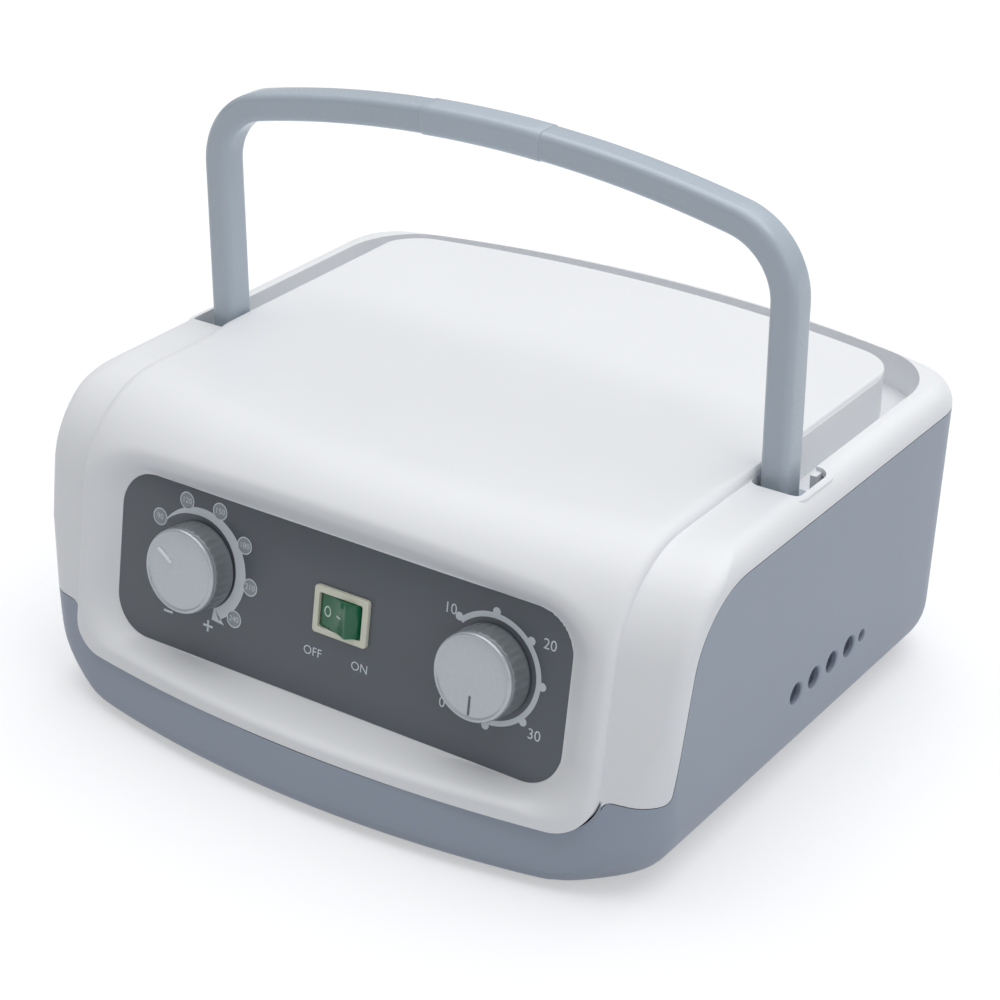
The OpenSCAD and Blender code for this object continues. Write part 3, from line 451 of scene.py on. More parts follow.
TO_X, TO_Y = Matrix.Rotation(math.radians(90), 3, "Y"), Matrix.Rotation(math.radians(-90), 3, "X")
OUT_Z = 34.5
SIDE_X = HALF_W - (SEAM - OUT_Z) * DRAFT
OUTLET_BORE = [(3.8, -12), (3.8, -0.55), (4.05, -0.2), (4.5, 0.12), (4.6, 6)]
KEY_BORE = [(2.2, -12), (2.2, -0.4), (2.35, -0.15), (2.7, 0.1), (2.8, 6)]
outlets = [-13.2 + 12.4 * i for i in range(4)]
sockets = []
for y in outlets:
    combine(housing, lathe("bore", OUTLET_BORE, (SIDE_X, y, OUT_Z), TO_X))
    tube = lathe("socket", [(5.8, -16.6), (5.8, -2)], (SIDE_X, y, OUT_Z), TO_X)
    combine(tube, lathe("bore", [(3.8, -20), (3.8, 2)], (SIDE_X, y, OUT_Z), TO_X))
    sockets.append(tube)
key_y = outlets[-1] + 9.1
combine(housing, lathe("key", KEY_BORE, (SIDE_X, key_y, OUT_Z), TO_X, 28))
cup = lathe("key_cup", [(3.8, -10), (3.8, -2)], (SIDE_X, key_y, OUT_Z), TO_X, 28)
combine(cup, lathe("key", [(2.2, -8), (2.2, 2)], (SIDE_X, key_y, OUT_Z), TO_X, 28))
sockets.append(cup)
for i in range(9):
    for k in range(2):
        slot_line = rounded_box(30 + i * 7, FLOOR + 30 + k * 24, 2.6, 18, 1.25, 4)
        combine(housing, prism("vent", slot_line, 100, 140, "y"))
combine(housing, prism("inlet", rounded_box(-62, 30, 27, 19.5, 1.2, 4), 100, 140, "y"))
combine(housing, lathe("fuse", [(6.15, -12), (6.15, 12)], (-12, BACK, 30), TO_Y))
combine(housing, lathe("filter", [(13, -1), (13, 6)], (40, 62, FLOOR), Matrix.Identity(3)))
for x, y in ((-96, -62), (96, -62), (-100, 62), (100, 62)):
    combine(housing, lathe("screw", [(3.3, -1), (3.3, 6)], (x, y, FLOOR), Matrix.Identity(3)))
    well = lathe("well", [(4.8, 0.5), (4.8, 60)], (x, y, FLOOR), Matrix.Identity(3))
    combine(well, lathe("hole", [(3.3, -1), (3.3, 58)], (x, y, FLOOR), Matrix.Identity(3)))
    sockets.append(well)
housing = smooth(join("lower_housing", [housing] + sockets), 32)
settle(housing, "housing", "base_shell", "base_shell")

# %% [markdown]
# ## The panel plate
# A thin moulded plate sits at the foot of the recess. It starts as a plane on the lean of the
# panel, gets its round corners from a bevel of its four corners, and a small edge bevel.

# %% Plate of the control panel
TO_PANEL = Matrix.Rotation(math.radians(90) - LEAN, 4, "X")


def plate_frame(u=0.0, v=0.0, w=0.0):
    """The place and lean of something drawn flat, with its middle at (u, v, w) on the panel."""
    return Matrix.Translation(Vector(panel(u, v, w)) * MM) @ TO_PANEL


def apply_place(piece):
    piece.data.transform(piece.matrix_world)
    piece.matrix_world = Matrix.Identity(4)
    return piece


bpy.ops.object.select_all(action="DESELECT")
bpy.ops.mesh.primitive_plane_add(size=1)
plate = bpy.context.object
plate.name = "panel_plate"
plate.data.transform(Matrix.Diagonal((PANEL_W * MM, PANEL_H * MM, 1, 1)))
bpy.ops.object.mode_set(mode="EDIT")
bpy.ops.mesh.select_all(action="SELECT")
bpy.ops.mesh.bevel(offset=PANEL_R * MM, segments=14, affect="VERTICES")
bpy.ops.mesh.extrude_region_move(TRANSFORM_OT_translate={"value": (0, 0, 1.2 * MM)})
bpy.ops.mesh.select_all(action="SELECT")
bpy.ops.mesh.normals_make_consistent(inside=False)
bpy.ops.mesh.select_all(action="DESELECT")
bpy.ops.object.mode_set(mode="OBJECT")
top_face = max(plate.data.polygons, key=lambda f: f.center.z)
for e in plate.data.edges:
    if all(v in top_face.vertices for v in e.vertices):
        e.select = True
bpy.ops.object.mode_set(mode="EDIT")
bpy.ops.mesh.select_mode(type="EDGE")
bpy.ops.mesh.bevel(offset=0.35 * MM, segments=3)
bpy.ops.object.mode_set(mode="OBJECT")
plate.matrix_world = plate_frame(0, PANEL_H / 2, -1.2)
bpy.context.view_layer.update()
apply_place(plate)
smooth(plate, 40)
for u in (PRESSURE_U, TIMER_U):
    combine(plate, lathe("hole", [(4.9, -12), (4.9, 12)], panel(u, CONTROL_V), TO_PANEL.to_3x3()))
window = prism("window", rounded_box(0, 0, 20.2, 14.8, 0.4, 3), -12, 12)
window.data.transform(plate_frame(SWITCH_U, CONTROL_V))
combine(plate, window)
settle(plate, "housing", "control_panel", "control_panel")
print("plate size in mm:", [round(c / MM, 1) for c in plate.dimensions])

# %% [markdown]
# ## The printing on the panel
# Two inks lie on the plate. Mid-grey discs come first, and pale ink makes their rings and plain
# pressure numbers, a tapering crescent with an arrow tip, a ring with dots, plain minutes, a plus
# and a minus, and OFF and ON at the switch. A picture texture could carry them, but flat shapes
# stay sharp from near. They start 0.04 mm above the plate, and no two lie in one plane.

# %% Flat marks
INK_W = 0.04
ink_parts = []


def round_outline(centre, r, steps):
    """Points of a circle on the panel, anticlockwise."""
    turn = np.linspace(0, 2 * math.pi, steps + 1)[:-1]
    return [(centre[0] + r * math.cos(a), centre[1] + r * math.sin(a)) for a in turn]


def flat_mark(outline, w=INK_W):
    """A flat shape from (u, v) points, going anticlockwise."""
    piece = mesh_piece("mark", [panel(u, v, w) for u, v in outline], [tuple(range(len(outline)))])
    ink_parts.append(piece)


def clock(centre, r, angle):
    """A point at a clock angle, clockwise from up the panel."""
    a = math.radians(90 - angle)
    return (centre[0] + r * math.cos(a), centre[1] + r * math.sin(a))


def band(centre, radii_out, radii_in, angles, w=INK_W):
    """A flat band between two lines of radii, along clock angles."""
    outer = [clock(centre, r, a) for r, a in zip(radii_out, angles)]
    inner_line = [clock(centre, r, a) for r, a in zip(radii_in, angles)]
    points = [panel(u, v, w) for u, v in outer + inner_line]
    n = len(angles)
    faces = [(k, n + k, n + k + 1, k + 1) for k in range(n - 1)]
    ink_parts.append(mesh_piece("band", points, faces))


def word(text, centre, size, w=INK_W):
    """Plain figures or letters as a flat mesh, of a size in mm, upright on the panel."""
    bpy.ops.object.select_all(action="DESELECT")
    bpy.ops.object.text_add()
    piece = bpy.context.object
    piece.data.body, piece.data.size = text, size * MM
    piece.data.align_x, piece.data.align_y = "CENTER", "CENTER"
    piece.data.resolution_u = 4
    bpy.ops.object.convert(target="MESH")
    piece = bpy.context.object
    piece.data.transform(plate_frame(centre[0], centre[1], w))
    piece.matrix_world = Matrix.Identity(4)
    ink_parts.append(piece)


P = (PRESSURE_U, CONTROL_V)
T = (TIMER_U, CONTROL_V)
disc_marks = []
for text, angle in (("90", -57), ("120", -19), ("150", 19), ("180", 57), ("210", 95), ("240", 133)):
    spot = clock(P, 22.0, angle)
    band(spot, [3.1] * 37, [2.7] * 37, list(np.linspace(0, 360, 37)), INK_W + 0.008)
    word(text, spot, 2.85, INK_W + 0.03)
    disc_points = [panel(u, v, INK_W) for u, v in round_outline(spot, 2.72, 36)]
    disc_marks.append(mesh_piece("disc", disc_points, [tuple(range(36))]))
angles = list(np.linspace(-56, 151, 70))
inner_r = np.interp(angles, [-56, -14, 40, 82, 151], [19.55, 17.3, 16.2, 15.6, 15.6])
band(P, [19.8] * len(angles), list(inner_r), angles)
flat_mark([clock(P, 15.0, 151), clock(P, 22.2, 147), clock(P, 19.2, 160)][::-1])
minus, plus = clock(P, 24.3, -149), clock(P, 21.4, 166)
for centre, bars in ((minus, [(2.0, 0.42)]), (plus, [(2.1, 0.42), (0.42, 2.1)])):
    for bu, bv in bars:
        flat_mark([(centre[0] - bu, centre[1] - bv), (centre[0] + bu, centre[1] - bv),
                   (centre[0] + bu, centre[1] + bv), (centre[0] - bu, centre[1] + bv)],
                  INK_W if bu > bv else INK_W + 0.004)
angles = list(np.linspace(-46, 182, 80))
band(T, [18.8] * len(angles), [16.95] * len(angles), angles)
for angle in (-45, 0, 45, 90, 135, 180):
    spot = clock(T, 19.3, angle)
    flat_mark(round_outline(spot, 1.45, 28), INK_W + 0.006)
for text, angle, r in (("10", -48.6, 22.9), ("20", 55, 25), ("30", 132.6, 24.8), ("0", -135.2, 24.1)):
    word(text, clock(T, r, angle), 5.1)
word("OFF", (-6.7, 17.2), 4.4)
word("ON", (12.6, 17.5), 4.4)
marks = join("panel_marks", ink_parts)
settle(marks, "housing", "switch_frame")
disc_numbers = join("disc_numbers", disc_marks)
settle(disc_numbers, "housing", "control_panel")

# %% [markdown]
# ## The dials
# Each knob is a moulded skirt with shallow scalloped flutes under a satin cap. The skirt is a
# stack of rings along its profile, each drawn in where a flute runs, so the flutes can fade out
# towards both ends. The cap is a second profile turned round the axis, with a rolled rim. The two
# pointers differ, as they do on the object.

# %% Profiles of the dials, as radius and height over the panel
SKIRT = [(15.0, 0.6), (15.25, 0.9), (15.3, 1.5), (15.2, 3.2), (15.1, 6.6), (14.95, 8.0),
         (14.75, 8.75), (14.45, 9.2), (13.9, 9.3)]
CAP = [(14.3, 9.15), (14.5, 9.3), (14.62, 9.6), (14.62, 10.05), (14.5, 10.5), (14.2, 10.85),
       (13.8, 11.02), (13.45, 10.98), (13.2, 10.8), (13.05, 10.62), (12.85, 10.56), (12.6, 10.6),
       (6, 10.66), (0.4, 10.68)]
FLUTES, FLUTE_DEPTH, FACE_W = 32, 0.42, 10.66
print("profiles:", len(SKIRT), len(CAP))


# %% Skirt, cap and pointer
def fluted_skirt(name):
    rings = []
    for r, z in SKIRT:
        depth_here = FLUTE_DEPTH * float(smoothstep(1.2, 2.6, z) * (1 - smoothstep(7.2, 8.9, z)))
        ring = []
        for k in range(FLUTES * 8):
            a = 2 * math.pi * k / (FLUTES * 8)
            r_here = r - depth_here * (0.5 - 0.5 * math.cos(FLUTES * a))
            ring.append((r_here * math.cos(a), r_here * math.sin(a), z))
        rings.append(ring)
    return mesh_piece(name, *stack(rings))


def pointer_bar(name, start, end, wide, high, angle):
    """A bevelled bar from one radius to another, turned to its angle and laid on the cap."""
    bpy.ops.object.select_all(action="DESELECT")
    bpy.ops.mesh.primitive_cube_add(size=1)
    piece = bpy.context.object
    piece.name = name
    piece.data.transform(Matrix.Diagonal(((end - start) * MM, wide * MM, high * MM, 1)))
    bpy.ops.object.mode_set(mode="EDIT")
    bpy.ops.mesh.select_all(action="SELECT")
    bpy.ops.mesh.bevel(offset=0.22 * MM, segments=3)
    bpy.ops.object.mode_set(mode="OBJECT")
    to_cap = Matrix.Translation(Vector(((start + end) / 2, 0, FACE_W)) * MM)
    piece.data.transform(Matrix.Rotation(math.radians(angle), 4, "Z") @ to_cap)
    return piece


def dial(centre, body, name, pointer):
    skirt_ = fluted_skirt(name + "_skirt")
    cap = lathe(name + "_cap", CAP, (0, 0, 0), Matrix.Identity(3), 128)
    mark = pointer_bar(name + "_pointer", *pointer)
    for piece, crease in ((skirt_, 50), (cap, 40), (mark, 40)):
        piece.data.transform(plate_frame(centre[0], centre[1]))
        smooth(piece, crease)
    settle(skirt_, body, name + "_knob", name + "_knob")
    settle(cap, body, name + "_knob_cap", name + "_knob_cap")
    settle(mark, body, name + "_knob_cap")
    return skirt_, cap, mark


pressure_set = dial(P, "pressure_dial", "pressure", (4.0, 11.2, 1.2, 0.9, 148))
timer_set = dial(T, "timer_dial", "timer", (6.0, 12.6, 0.75, 0.5, -90))

# %% [markdown]
# ## The switch
# An ivory frame snaps into the plate and holds a green see-through rocker, pressed at OFF. The
# frame is a bevelled block with its window cut through and a well joined under it. The rocker is
# drawn as it looks from the side, with a hollow face and a raised end, and then drawn out across
# the frame.

# %% Frame and rocker
bpy.ops.object.select_all(action="DESELECT")
bpy.ops.mesh.primitive_cube_add(size=1)
rim = bpy.context.object
rim.name = "switch_rim"
rim.data.transform(Matrix.Translation((0, 0, 0.75 * MM))
                   @ Matrix.Diagonal((22 * MM, 16.6 * MM, 1.5 * MM, 1)))
bpy.ops.object.mode_set(mode="EDIT")
bpy.ops.mesh.select_mode(type="EDGE")
bpy.ops.mesh.select_all(action="DESELECT")
bpy.ops.object.mode_set(mode="OBJECT")
for e in rim.data.edges:
    a, b = (rim.data.vertices[k].co for k in e.vertices)
    e.select = abs(a.z - b.z) > 1e-4
bpy.ops.object.mode_set(mode="EDIT")
bpy.ops.mesh.bevel(offset=1.3 * MM, segments=6)
bpy.ops.mesh.select_all(action="DESELECT")
bpy.ops.object.mode_set(mode="OBJECT")
crown = max(rim.data.polygons, key=lambda f: f.center.z)
crown.select = True
bpy.ops.object.mode_set(mode="EDIT")
bpy.ops.mesh.select_mode(type="FACE")
bpy.ops.mesh.bevel(offset=0.4 * MM, segments=3, affect="EDGES")
bpy.ops.object.mode_set(mode="OBJECT")
combine(rim, prism("window", rounded_box(0, 0, 17.6, 12.2, 0.7, 4), -3, 5))
well = prism("well", rounded_box(0, 0, 19.4, 14.0, 0.8, 4), -16, 0.2)
combine(well, prism("well_room", rounded_box(0, 0, 17.6, 12.2, 0.7, 4), -13, 5))
rim = join("switch_rim", [rim, well])
rim.data.transform(plate_frame(SWITCH_U, CONTROL_V))
smooth(rim, 35)
settle(rim, "housing", "switch_frame", "switch_frame")
VALLEY_U, VALLEY_W, RIDGE_U, RIDGE_RISE, KEY_CURVE = -8.2, 0.55, 3.4, 3.5, 1.9


def key_face(u):
    """Height of the key's hollow face over the panel, u mm from the middle of the key."""
    return VALLEY_W + RIDGE_RISE * max((u - VALLEY_U) / (RIDGE_U - VALLEY_U), 0) ** KEY_CURVE


v_shape = [(-8.5, -2.6), (-5, -8), (5, -8), (8.3, -3.6), (8.3, -0.8), (8.0, 0.1), (4.9, 4.2),
           (4.3, 4.45), (3.6, 4.2)]
face_points = [RIDGE_U + (VALLEY_U - RIDGE_U) * k / 8 for k in range(1, 9)]
v_shape += [(u, key_face(u)) for u in face_points] + [(-8.45, 0.3)]
rocker = prism("rocker_key", v_shape, -5.85, 5.85, "y")
soft_edge = rocker.modifiers.new("soft", "BEVEL")
soft_edge.width, soft_edge.segments, soft_edge.angle_limit = 0.3 * MM, 3, math.radians(28)
only(rocker)
bpy.ops.object.modifier_apply(modifier="soft")
rocker.data.transform(plate_frame(SWITCH_U, CONTROL_V))
smooth(rocker, 30)
settle(rocker, "rocker", "switch_rocker", "switch_rocker")
rocker_print = []


def on_rocker(u, v):
    """A point just above the curved face of the rocker."""
    return panel(SWITCH_U + u, CONTROL_V + v, key_face(u) + 0.07)


turn = np.linspace(0, 2 * math.pi, 33)[:-1]
ring_points = [on_rocker(-5.4 + 1.55 * math.cos(a), 1.9 * math.sin(a)) for a in turn]
ring_points += [on_rocker(-5.4 + 1.05 * math.cos(a), 1.4 * math.sin(a)) for a in turn]
ring_faces = [(k, (k + 1) % 32, 32 + (k + 1) % 32, 32 + k) for k in range(32)]
rocker_print.append(mesh_piece("off_ring", ring_points, ring_faces))
dash = [on_rocker(u, v) for u, v in ((-0.9, -0.3), (1.5, -0.3), (1.5, 0.3), (-0.9, 0.3))]
rocker_print.append(mesh_piece("on_dash", dash, [(0, 1, 2, 3)]))
rocker_print = join("rocker_print", rocker_print)
settle(rocker_print, "rocker", "switch_rocker")

# %% [markdown]
# ## The handle
# The bail is one moulded bar of rounded section: two legs, two corner bends and a low arch. The
# section is carried along that line as a row of loops. A flat eye at the foot of each leg turns
# on its hinge pin inside the slot.

# %% The bar
HANDLE_TOP, BEND_MID = 208.0, 25.0
BEND_Z = HANDLE_TOP - 39.5
SECTION_R, HALF_X, HALF_Y = 2.8, 2.2, 3.2


def turned(cx, cz, r, turns):
    """Points and angles along an arc of the bar, seen from the front."""
    return [(cx + r * math.cos(math.radians(a)), cz + r * math.sin(math.radians(a)), a)
            for a in turns]


def handle_bar(path, grow=0.0):
    """The rounded section carried along a line of (x, z, angle) points."""
    section = []
    for q, (side_x, side_y) in enumerate(((1, 1), (-1, 1), (-1, -1), (1, -1))):
        for i in range(8):
            a = math.radians(q * 90 + 90 * i / 7)
            section.append((side_x * HALF_X + (SECTION_R + grow) * math.cos(a),
                            side_y * HALF_Y + (SECTION_R + grow) * math.sin(a)))
    rings = []
    for x, z, a in path:
        c, d = math.cos(math.radians(a)), math.sin(math.radians(a))
        rings.append([(x + across * c, LEG_Y + ahead, z + across * d) for across, ahead in section])
    return stack(rings)


bend_end, arch_mid = 90 - ARCH_LEAN, ARCH_R - 5
right_bend = turned(BEND_X, BEND_Z, BEND_MID, np.linspace(0, bend_end, 22))
whole = [(LEG_X, z, 0.0) for z in (92.0, 110, 140)] + right_bend
whole += turned(0, HANDLE_TOP - ARCH_R, arch_mid, np.linspace(bend_end, 180 - bend_end, 42)[1:-1])
whole += [(-x, z, 180 - a) for x, z, a in right_bend[::-1]]
whole += [(-LEG_X, z, 180.0) for z in (140, 110, 92.0)]
points, faces = handle_bar(whole)
bar = mesh_piece("handle_bar", points, faces, tidy=True)
feet = []
for side in (-1, 1):
    foot = lathe("eye", [(4.6, -5), (5.2, -4.4), (5.2, 4.4), (4.6, 5)], (side * LEG_X, PIN_Y, PIN_Z), TO_X)
    foot_line = rounded_box(side * LEG_X, (LEG_Y - 1 + PIN_Y) / 2, 10, PIN_Y - LEG_Y + 8, 1.2, 4)
    block = prism("foot", foot_line, PIN_Z - 5.2, PIN_Z + 5.2)
    feet += [foot, block]
bar = smooth(join("handle_bar", [bar] + feet), 40)
settle(bar, "handle_arm", "handle", "handle")
cover_angle = math.degrees(47 / 2 / arch_mid)
cover_turns = np.linspace(90 - cover_angle, 90 + cover_angle, 12)
cover_line = turned(0, HANDLE_TOP - ARCH_R, arch_mid, cover_turns)
points, faces = handle_bar(cover_line, 0.3)
grip = mesh_piece("grip_cover", points, faces, tidy=True)
rim_soft = grip.modifiers.new("soft", "BEVEL")
rim_soft.width, rim_soft.segments, rim_soft.angle_limit = 0.25 * MM, 2, math.radians(60)
only(grip)
bpy.ops.object.modifier_apply(modifier="soft")
smooth(grip, 50)
settle(grip, "handle_arm", "handle_grip_cover", "handle_grip_cover")

# %% [markdown]
# ## The finishes
# Each finish is named for its real material and carries the detail that one shows. All patterns
# read Object coordinates, and one object unit is a metre, so a pattern scale is one over the
# size of its grain in metres.

# %% Colour and node helpers
def linear(hex_colour):
    """An sRGB hex colour as linear light, with an alpha of 1."""
    levels = [int(hex_colour[k:k + 2], 16) / 255 for k in (1, 3, 5)]
    return tuple(c / 12.92 if c <= 0.04045 else ((c + 0.055) / 1.055) ** 2.4 for c in levels) + (1.0,)


def scaled(tone, share, lift_by=0.0):
    """The same colour, lighter or darker."""
    return tuple(min(c * share + lift_by, 1) for c in tone[:3]) + (1,)


def add(tree, kind, settings=None, **links):
    """Add a node, give it its settings, and link its named inputs to other nodes' outputs."""
    node = tree.nodes.new(kind)
    for key, value in (settings or {}).items():
        if isinstance(key, str) and hasattr(node, key):
            setattr(node, key, value)
        else:
            node.inputs[key].default_value = value
    for key, source in links.items():
        by_number = key[0] == "i" and key[1:].isdigit()
        tree.links.new(source, node.inputs[int(key[1:]) if by_number else key])
    return node


finishes = {}
DRIFT = 38  # mm, how far a moulding's slow change of tone reaches


def finish(name, colour, rough, grain, depth, mottle=0.03, worn=0.0, **shader):
    """A surface with a fine grain in mm, a slow drift of tone, and gloss that varies a little."""
    made = bpy.data.materials.new(name)
    made.use_nodes = True
    tree = made.node_tree
    skin = tree.nodes["Principled BSDF"]
    for key, value in shader.items():
        skin.inputs[key.replace("_", " ")].default_value = value
    where = add(tree, "ShaderNodeTexCoord").outputs["Object"]
    fine = add(tree, "ShaderNodeTexNoise",
               {"Scale": 1 / (grain * MM), "Detail": 3.0, "Roughness": 0.6}, Vector=where)
    slow = add(tree, "ShaderNodeTexNoise", {"Scale": 1 / (DRIFT * MM), "Detail": 2.0}, Vector=where)
    tone = linear(colour)
    ramp = add(tree, "ShaderNodeValToRGB", Fac=slow.outputs["Fac"])
    ramp.color_ramp.elements[0].position, ramp.color_ramp.elements[1].position = 0.3, 0.7
    ramp.color_ramp.elements[0].color = scaled(tone, 1 - mottle)
    ramp.color_ramp.elements[1].color = scaled(tone, 1 + mottle)
    colour_out = ramp.outputs["Color"]
    if worn:
        speck = add(tree, "ShaderNodeMapRange", {1: 0.62, 2: 0.74, 3: 0.0, 4: worn},
                    Value=fine.outputs["Fac"])
        bright = add(tree, "ShaderNodeMix", {"data_type": "RGBA", 7: scaled(tone, 1.35, 0.02)},
                     i0=speck.outputs[0], i6=colour_out)
        colour_out = bright.outputs[2]
    tree.links.new(colour_out, skin.inputs["Base Color"])
    gloss = add(tree, "ShaderNodeMapRange", {1: 0.3, 2: 0.7, 3: max(rough - 0.05, 0.02), 4: rough + 0.05},
                Value=fine.outputs["Fac"])
    tree.links.new(gloss.outputs[0], skin.inputs["Roughness"])
    bump = add(tree, "ShaderNodeBump", {"Strength": 1.0, "Distance": depth * MM},
               Height=fine.outputs["Fac"])
    tree.links.new(bump.outputs["Normal"], skin.inputs["Normal"])
    finishes[name] = made
    return made


def dress(name, *things):
    for thing in things:
        piece = bpy.data.objects[thing] if isinstance(thing, str) else thing
        piece.data.materials.clear()
        piece.data.materials.append(finishes[name])


# %% [markdown]
# ### The mouldings
# The cover is white ABS with a fine spark-eroded texture, which gives it a soft sheen. The lower
# housing is the same plastic in blue-grey. The handle is glass-filled nylon, which is tougher and
# glossier, and the plate is a satin printed moulding. Each grain is drawn at the size it has.

# %% Moulded plastics of the outside
# Spark-eroded ABS, a fine even grain of about 0.35 mm: a soft broad sheen
finish("white_abs_spark_texture", "#e9ebee", 0.40, 0.35, 0.006, 0.008)
# The same ABS in blue-grey
finish("blue_grey_abs_spark_texture", "#98a2b1", 0.44, 0.35, 0.007, 0.015)
# Nylon with a polished mould: smooth, with a wide clear highlight
finish("grey_nylon_polished_mould", "#b1bcc7", 0.24, 0.5, 0.0015, 0.012)
# Soft-touch sleeve moulded over the grip, a shade flatter than the bar
finish("grey_elastomer_sleeve", "#b4bfca", 0.32, 0.6, 0.004, 0.012)
# Polycarbonate plate with a satin grain of 0.25 mm
finish("satin_printed_polycarbonate", "#5a6067", 0.40, 0.25, 0.006, 0.02)
# Screen ink, a thin matt layer with slightly uneven cover
finish("pale_screen_ink", "#d2d9de", 0.55, 0.5, 0.002, 0.03)
finish("mid_grey_screen_ink", "#949ba2", 0.55, 0.5, 0.002, 0.03)
# Metallised ABS: fine bright flakes in a grey coat
finish("metallised_abs_grey", "#83898d", 0.34, 0.16, 0.003, 0.03, 0.3, Metallic=0.35)
finish("metallised_abs_silver", "#b9bfc4", 0.30, 0.16, 0.003, 0.02, 0.4, Metallic=0.4)
# Bright polished pointer bar
finish("bright_moulded_pointer", "#e9edf0", 0.25, 0.3, 0.002, 0.02)
# Dark line moulded into the cap
finish("dark_moulded_line", "#63686c", 0.5, 0.3, 0.003, 0.04)
# Ivory ABS frame, smooth
finish("ivory_abs", "#dcdccb", 0.34, 0.8, 0.004, 0.012)
# Tinted acrylic: light enters and scatters back green
finish("green_tinted_acrylic", "#0e6e46", 0.14, 2.5, 0.004, 0.10, 0.0, Transmission_Weight=0.2, IOR=1.49)
finish("white_pad_print", "#cfe3d6", 0.5, 0.4, 0.002, 0.02)

# %% [markdown]
# ### The working parts
# The parts inside show through the openings and when the housing is open. They carry the plain
# finishes such parts have: zinc, brass, die-cast alloy, silicone, nitrile and lacquered board.

# %% Finishes of the working parts
# Nitrile rubber, matt and slightly dusty
finish("black_nitrile_rubber", "#26282a", 0.72, 0.9, 0.03, 0.10, 0.15)
# Soft silicone hose, waxy and see-through at the edges
finish("clear_silicone", "#d9dcd8", 0.38, 3.0, 0.01, 0.03, 0.0, Subsurface_Weight=0.25)
# Acetal mouldings, white and waxy
finish("white_acetal", "#e2e3df", 0.36, 0.9, 0.005, 0.015)
finish("black_nylon", "#1d1f21", 0.42, 0.5, 0.008, 0.06)
finish("blue_grey_nylon", "#5d6a7c", 0.46, 0.5, 0.008, 0.04)
# Zinc-plated steel with the faint drift of colour that plating has
finish("zinc_plated_steel", "#b9bcc0", 0.30, 0.5, 0.004, 0.05, 0.0, Metallic=1.0)
finish("turned_steel", "#a9acaf", 0.26, 0.25, 0.004, 0.04, 0.0, Metallic=1.0)
finish("nickel_plated_brass", "#c8bf9a", 0.24, 0.5, 0.003, 0.04, 0.0, Metallic=1.0)
# Die-cast alloy: a coarser skin with flow marks
finish("die_cast_alloy", "#a4a8ab", 0.48, 1.2, 0.03, 0.06, 0.15, Metallic=0.9)
finish("painted_iron_core", "#4a3a2c", 0.55, 0.7, 0.03, 0.10, 0.1)
finish("lacquered_green_board", "#1e5a38", 0.30, 0.6, 0.004, 0.05, Coat_Weight=0.4, Coat_Roughness=0.12)
finish("dark_blue_sleeve", "#20304f", 0.34, 0.8, 0.004, 0.05)
# Open-cell foam, coarse pores of about 1.3 mm
finish("grey_filter_foam", "#4d5557", 0.85, 1.3, 0.35, 0.12)
finish("red_magnet_lacquer", "#7c2a22", 0.36, 0.8, 0.006, 0.06)

wear = {
    "white_abs_spark_texture": [cover], "blue_grey_abs_spark_texture": [housing],
    "grey_nylon_polished_mould": [bar], "grey_elastomer_sleeve": [grip],
    "satin_printed_polycarbonate": [plate], "pale_screen_ink": [marks],
    "mid_grey_screen_ink": [disc_numbers],
    "metallised_abs_grey": [pressure_set[0], timer_set[0]],
    "metallised_abs_silver": [pressure_set[1], timer_set[1]], "bright_moulded_pointer": [pressure_set[2]],
    "dark_moulded_line": [timer_set[2]], "ivory_abs": [rim],
    "green_tinted_acrylic": [rocker], "white_pad_print": [rocker_print],
    "black_nitrile_rubber": ["rubber_feet", "compressor_mounts"],
    "clear_silicone": ["air_hoses"], "white_acetal": ["distributor_rotor", "board_standoffs"],
    "blue_grey_nylon": ["distributor_body", "distributor_cover", "outlet_fittings", "filter_cover",
                        "hinge_spacers"],
    "black_nylon": ["power_inlet", "fuse_carrier", "timer_body", "regulator_body"],
    "zinc_plated_steel": ["housing_screws", "panel_nuts", "distributor_motor"],
    "turned_steel": ["hinge_pins", "regulator_shaft", "timer_shaft"],
    "nickel_plated_brass": ["inlet_pins", "switch_terminals"],
    "die_cast_alloy": ["compressor_body", "compressor_heads"], "painted_iron_core": ["transformer"],
    "lacquered_green_board": ["circuit_board"], "dark_blue_sleeve": ["board_parts"],
    "grey_filter_foam": ["air_filter"], "red_magnet_lacquer": ["compressor_armature"],
}
for name, things in wear.items():
    dress(name, *things)
print("finishes:", len(finishes))

# %% [markdown]
# ## Floor and light
# The object stands on a plain white floor in a soft light tent. The floor and the world read as
# white to the camera, and the floor still takes the shadow. The light itself stays at a level at
# which colours come out as they are written.

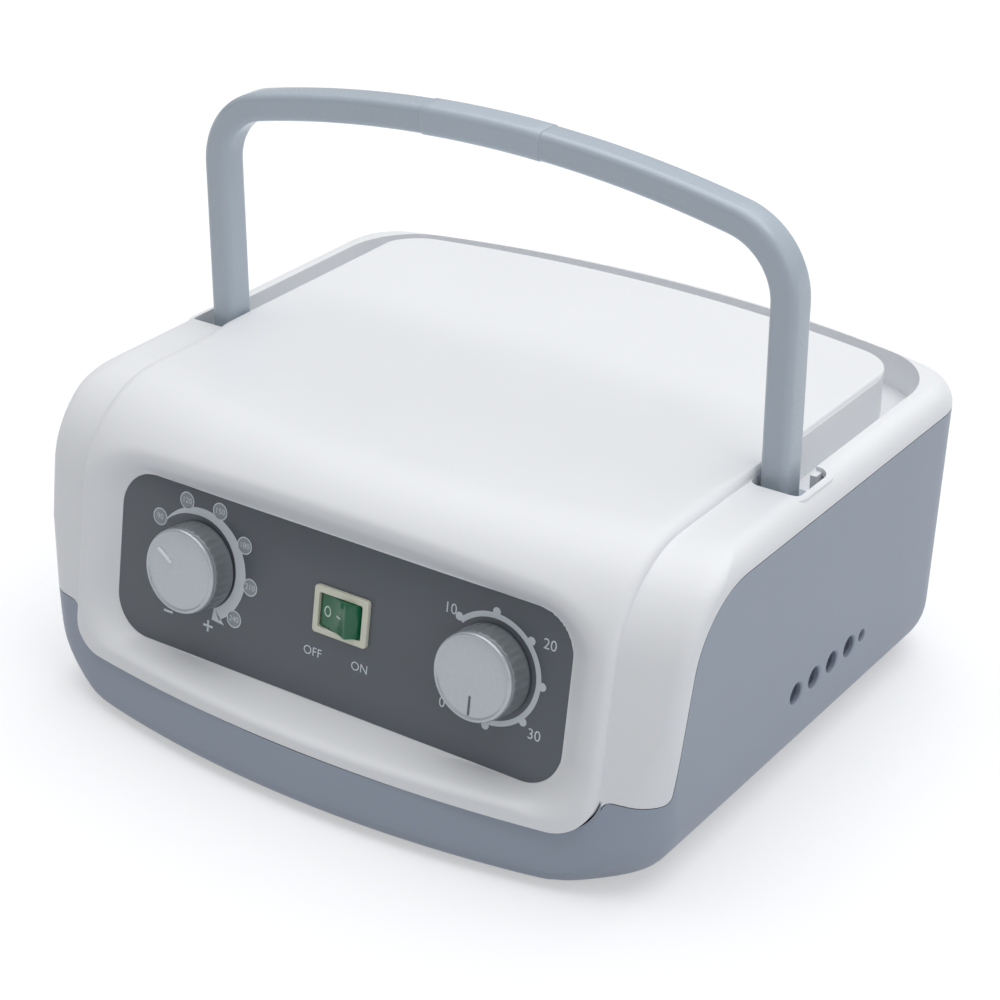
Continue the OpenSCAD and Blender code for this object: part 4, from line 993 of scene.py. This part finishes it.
# %% Floor, world and lamps
bpy.ops.object.select_all(action="DESELECT")
bpy.ops.mesh.primitive_plane_add(size=12)
floor = bpy.context.object
floor.name = "studio_floor"
paper = bpy.data.materials.new("white_studio_paper")
paper.use_nodes = True
tree = paper.node_tree
path = add(tree, "ShaderNodeLightPath")
larger = {"operation": "MAXIMUM"}
seen = add(tree, "ShaderNodeMath", larger,
           i0=path.outputs["Is Camera Ray"], i1=path.outputs["Is Glossy Ray"])
seen = add(tree, "ShaderNodeMath", larger, i0=seen.outputs[0], i1=path.outputs["Is Transmission Ray"])
glow_level = add(tree, "ShaderNodeMath", {"operation": "MULTIPLY", 1: 0.44}, i0=seen.outputs[0])
glow = add(tree, "ShaderNodeEmission", {"Color": (1, 1, 1, 1)}, Strength=glow_level.outputs[0])
dull = add(tree, "ShaderNodeBsdfDiffuse", {"Color": (0.56, 0.57, 0.59, 1)})
both = add(tree, "ShaderNodeAddShader", {}, i0=glow.outputs[0], i1=dull.outputs[0])
tree.links.new(both.outputs[0], tree.nodes["Material Output"].inputs["Surface"])
floor.data.materials.append(paper)

world = bpy.data.worlds.new("light_tent")
world.use_nodes = True
tree = world.node_tree
path = add(tree, "ShaderNodeLightPath")
seen = add(tree, "ShaderNodeMath", larger,
           i0=path.outputs["Is Camera Ray"], i1=path.outputs["Is Transmission Ray"])
level = add(tree, "ShaderNodeMapRange", {3: 0.33, 4: 1.0}, Value=seen.outputs[0])
tree.nodes["Background"].inputs["Color"].default_value = (1.0, 1.0, 1.0, 1)
tree.links.new(level.outputs[0], tree.nodes["Background"].inputs["Strength"])
bpy.context.scene.world = world


def lamp(name, energy, spread, aim, tint):
    sun = bpy.data.lights.new(name, "SUN")
    sun.energy, sun.angle, sun.color = energy, spread, tint
    holder = bpy.data.objects.new(name, sun)
    holder.rotation_euler = Vector(aim).to_track_quat("-Z", "Y").to_euler()
    bpy.context.scene.collection.objects.link(holder)


lamp("overhead_tent", 2.25, 1.3, (0.0, -0.26, -1), (1, 1, 1))
lamp("front_window", 0.16, 0.8, (-0.1, 0.8, -0.5), (0.96, 0.98, 1))
lamp("right_window", 0.42, 0.8, (-0.9, 0.15, -0.35), (0.97, 0.985, 1))
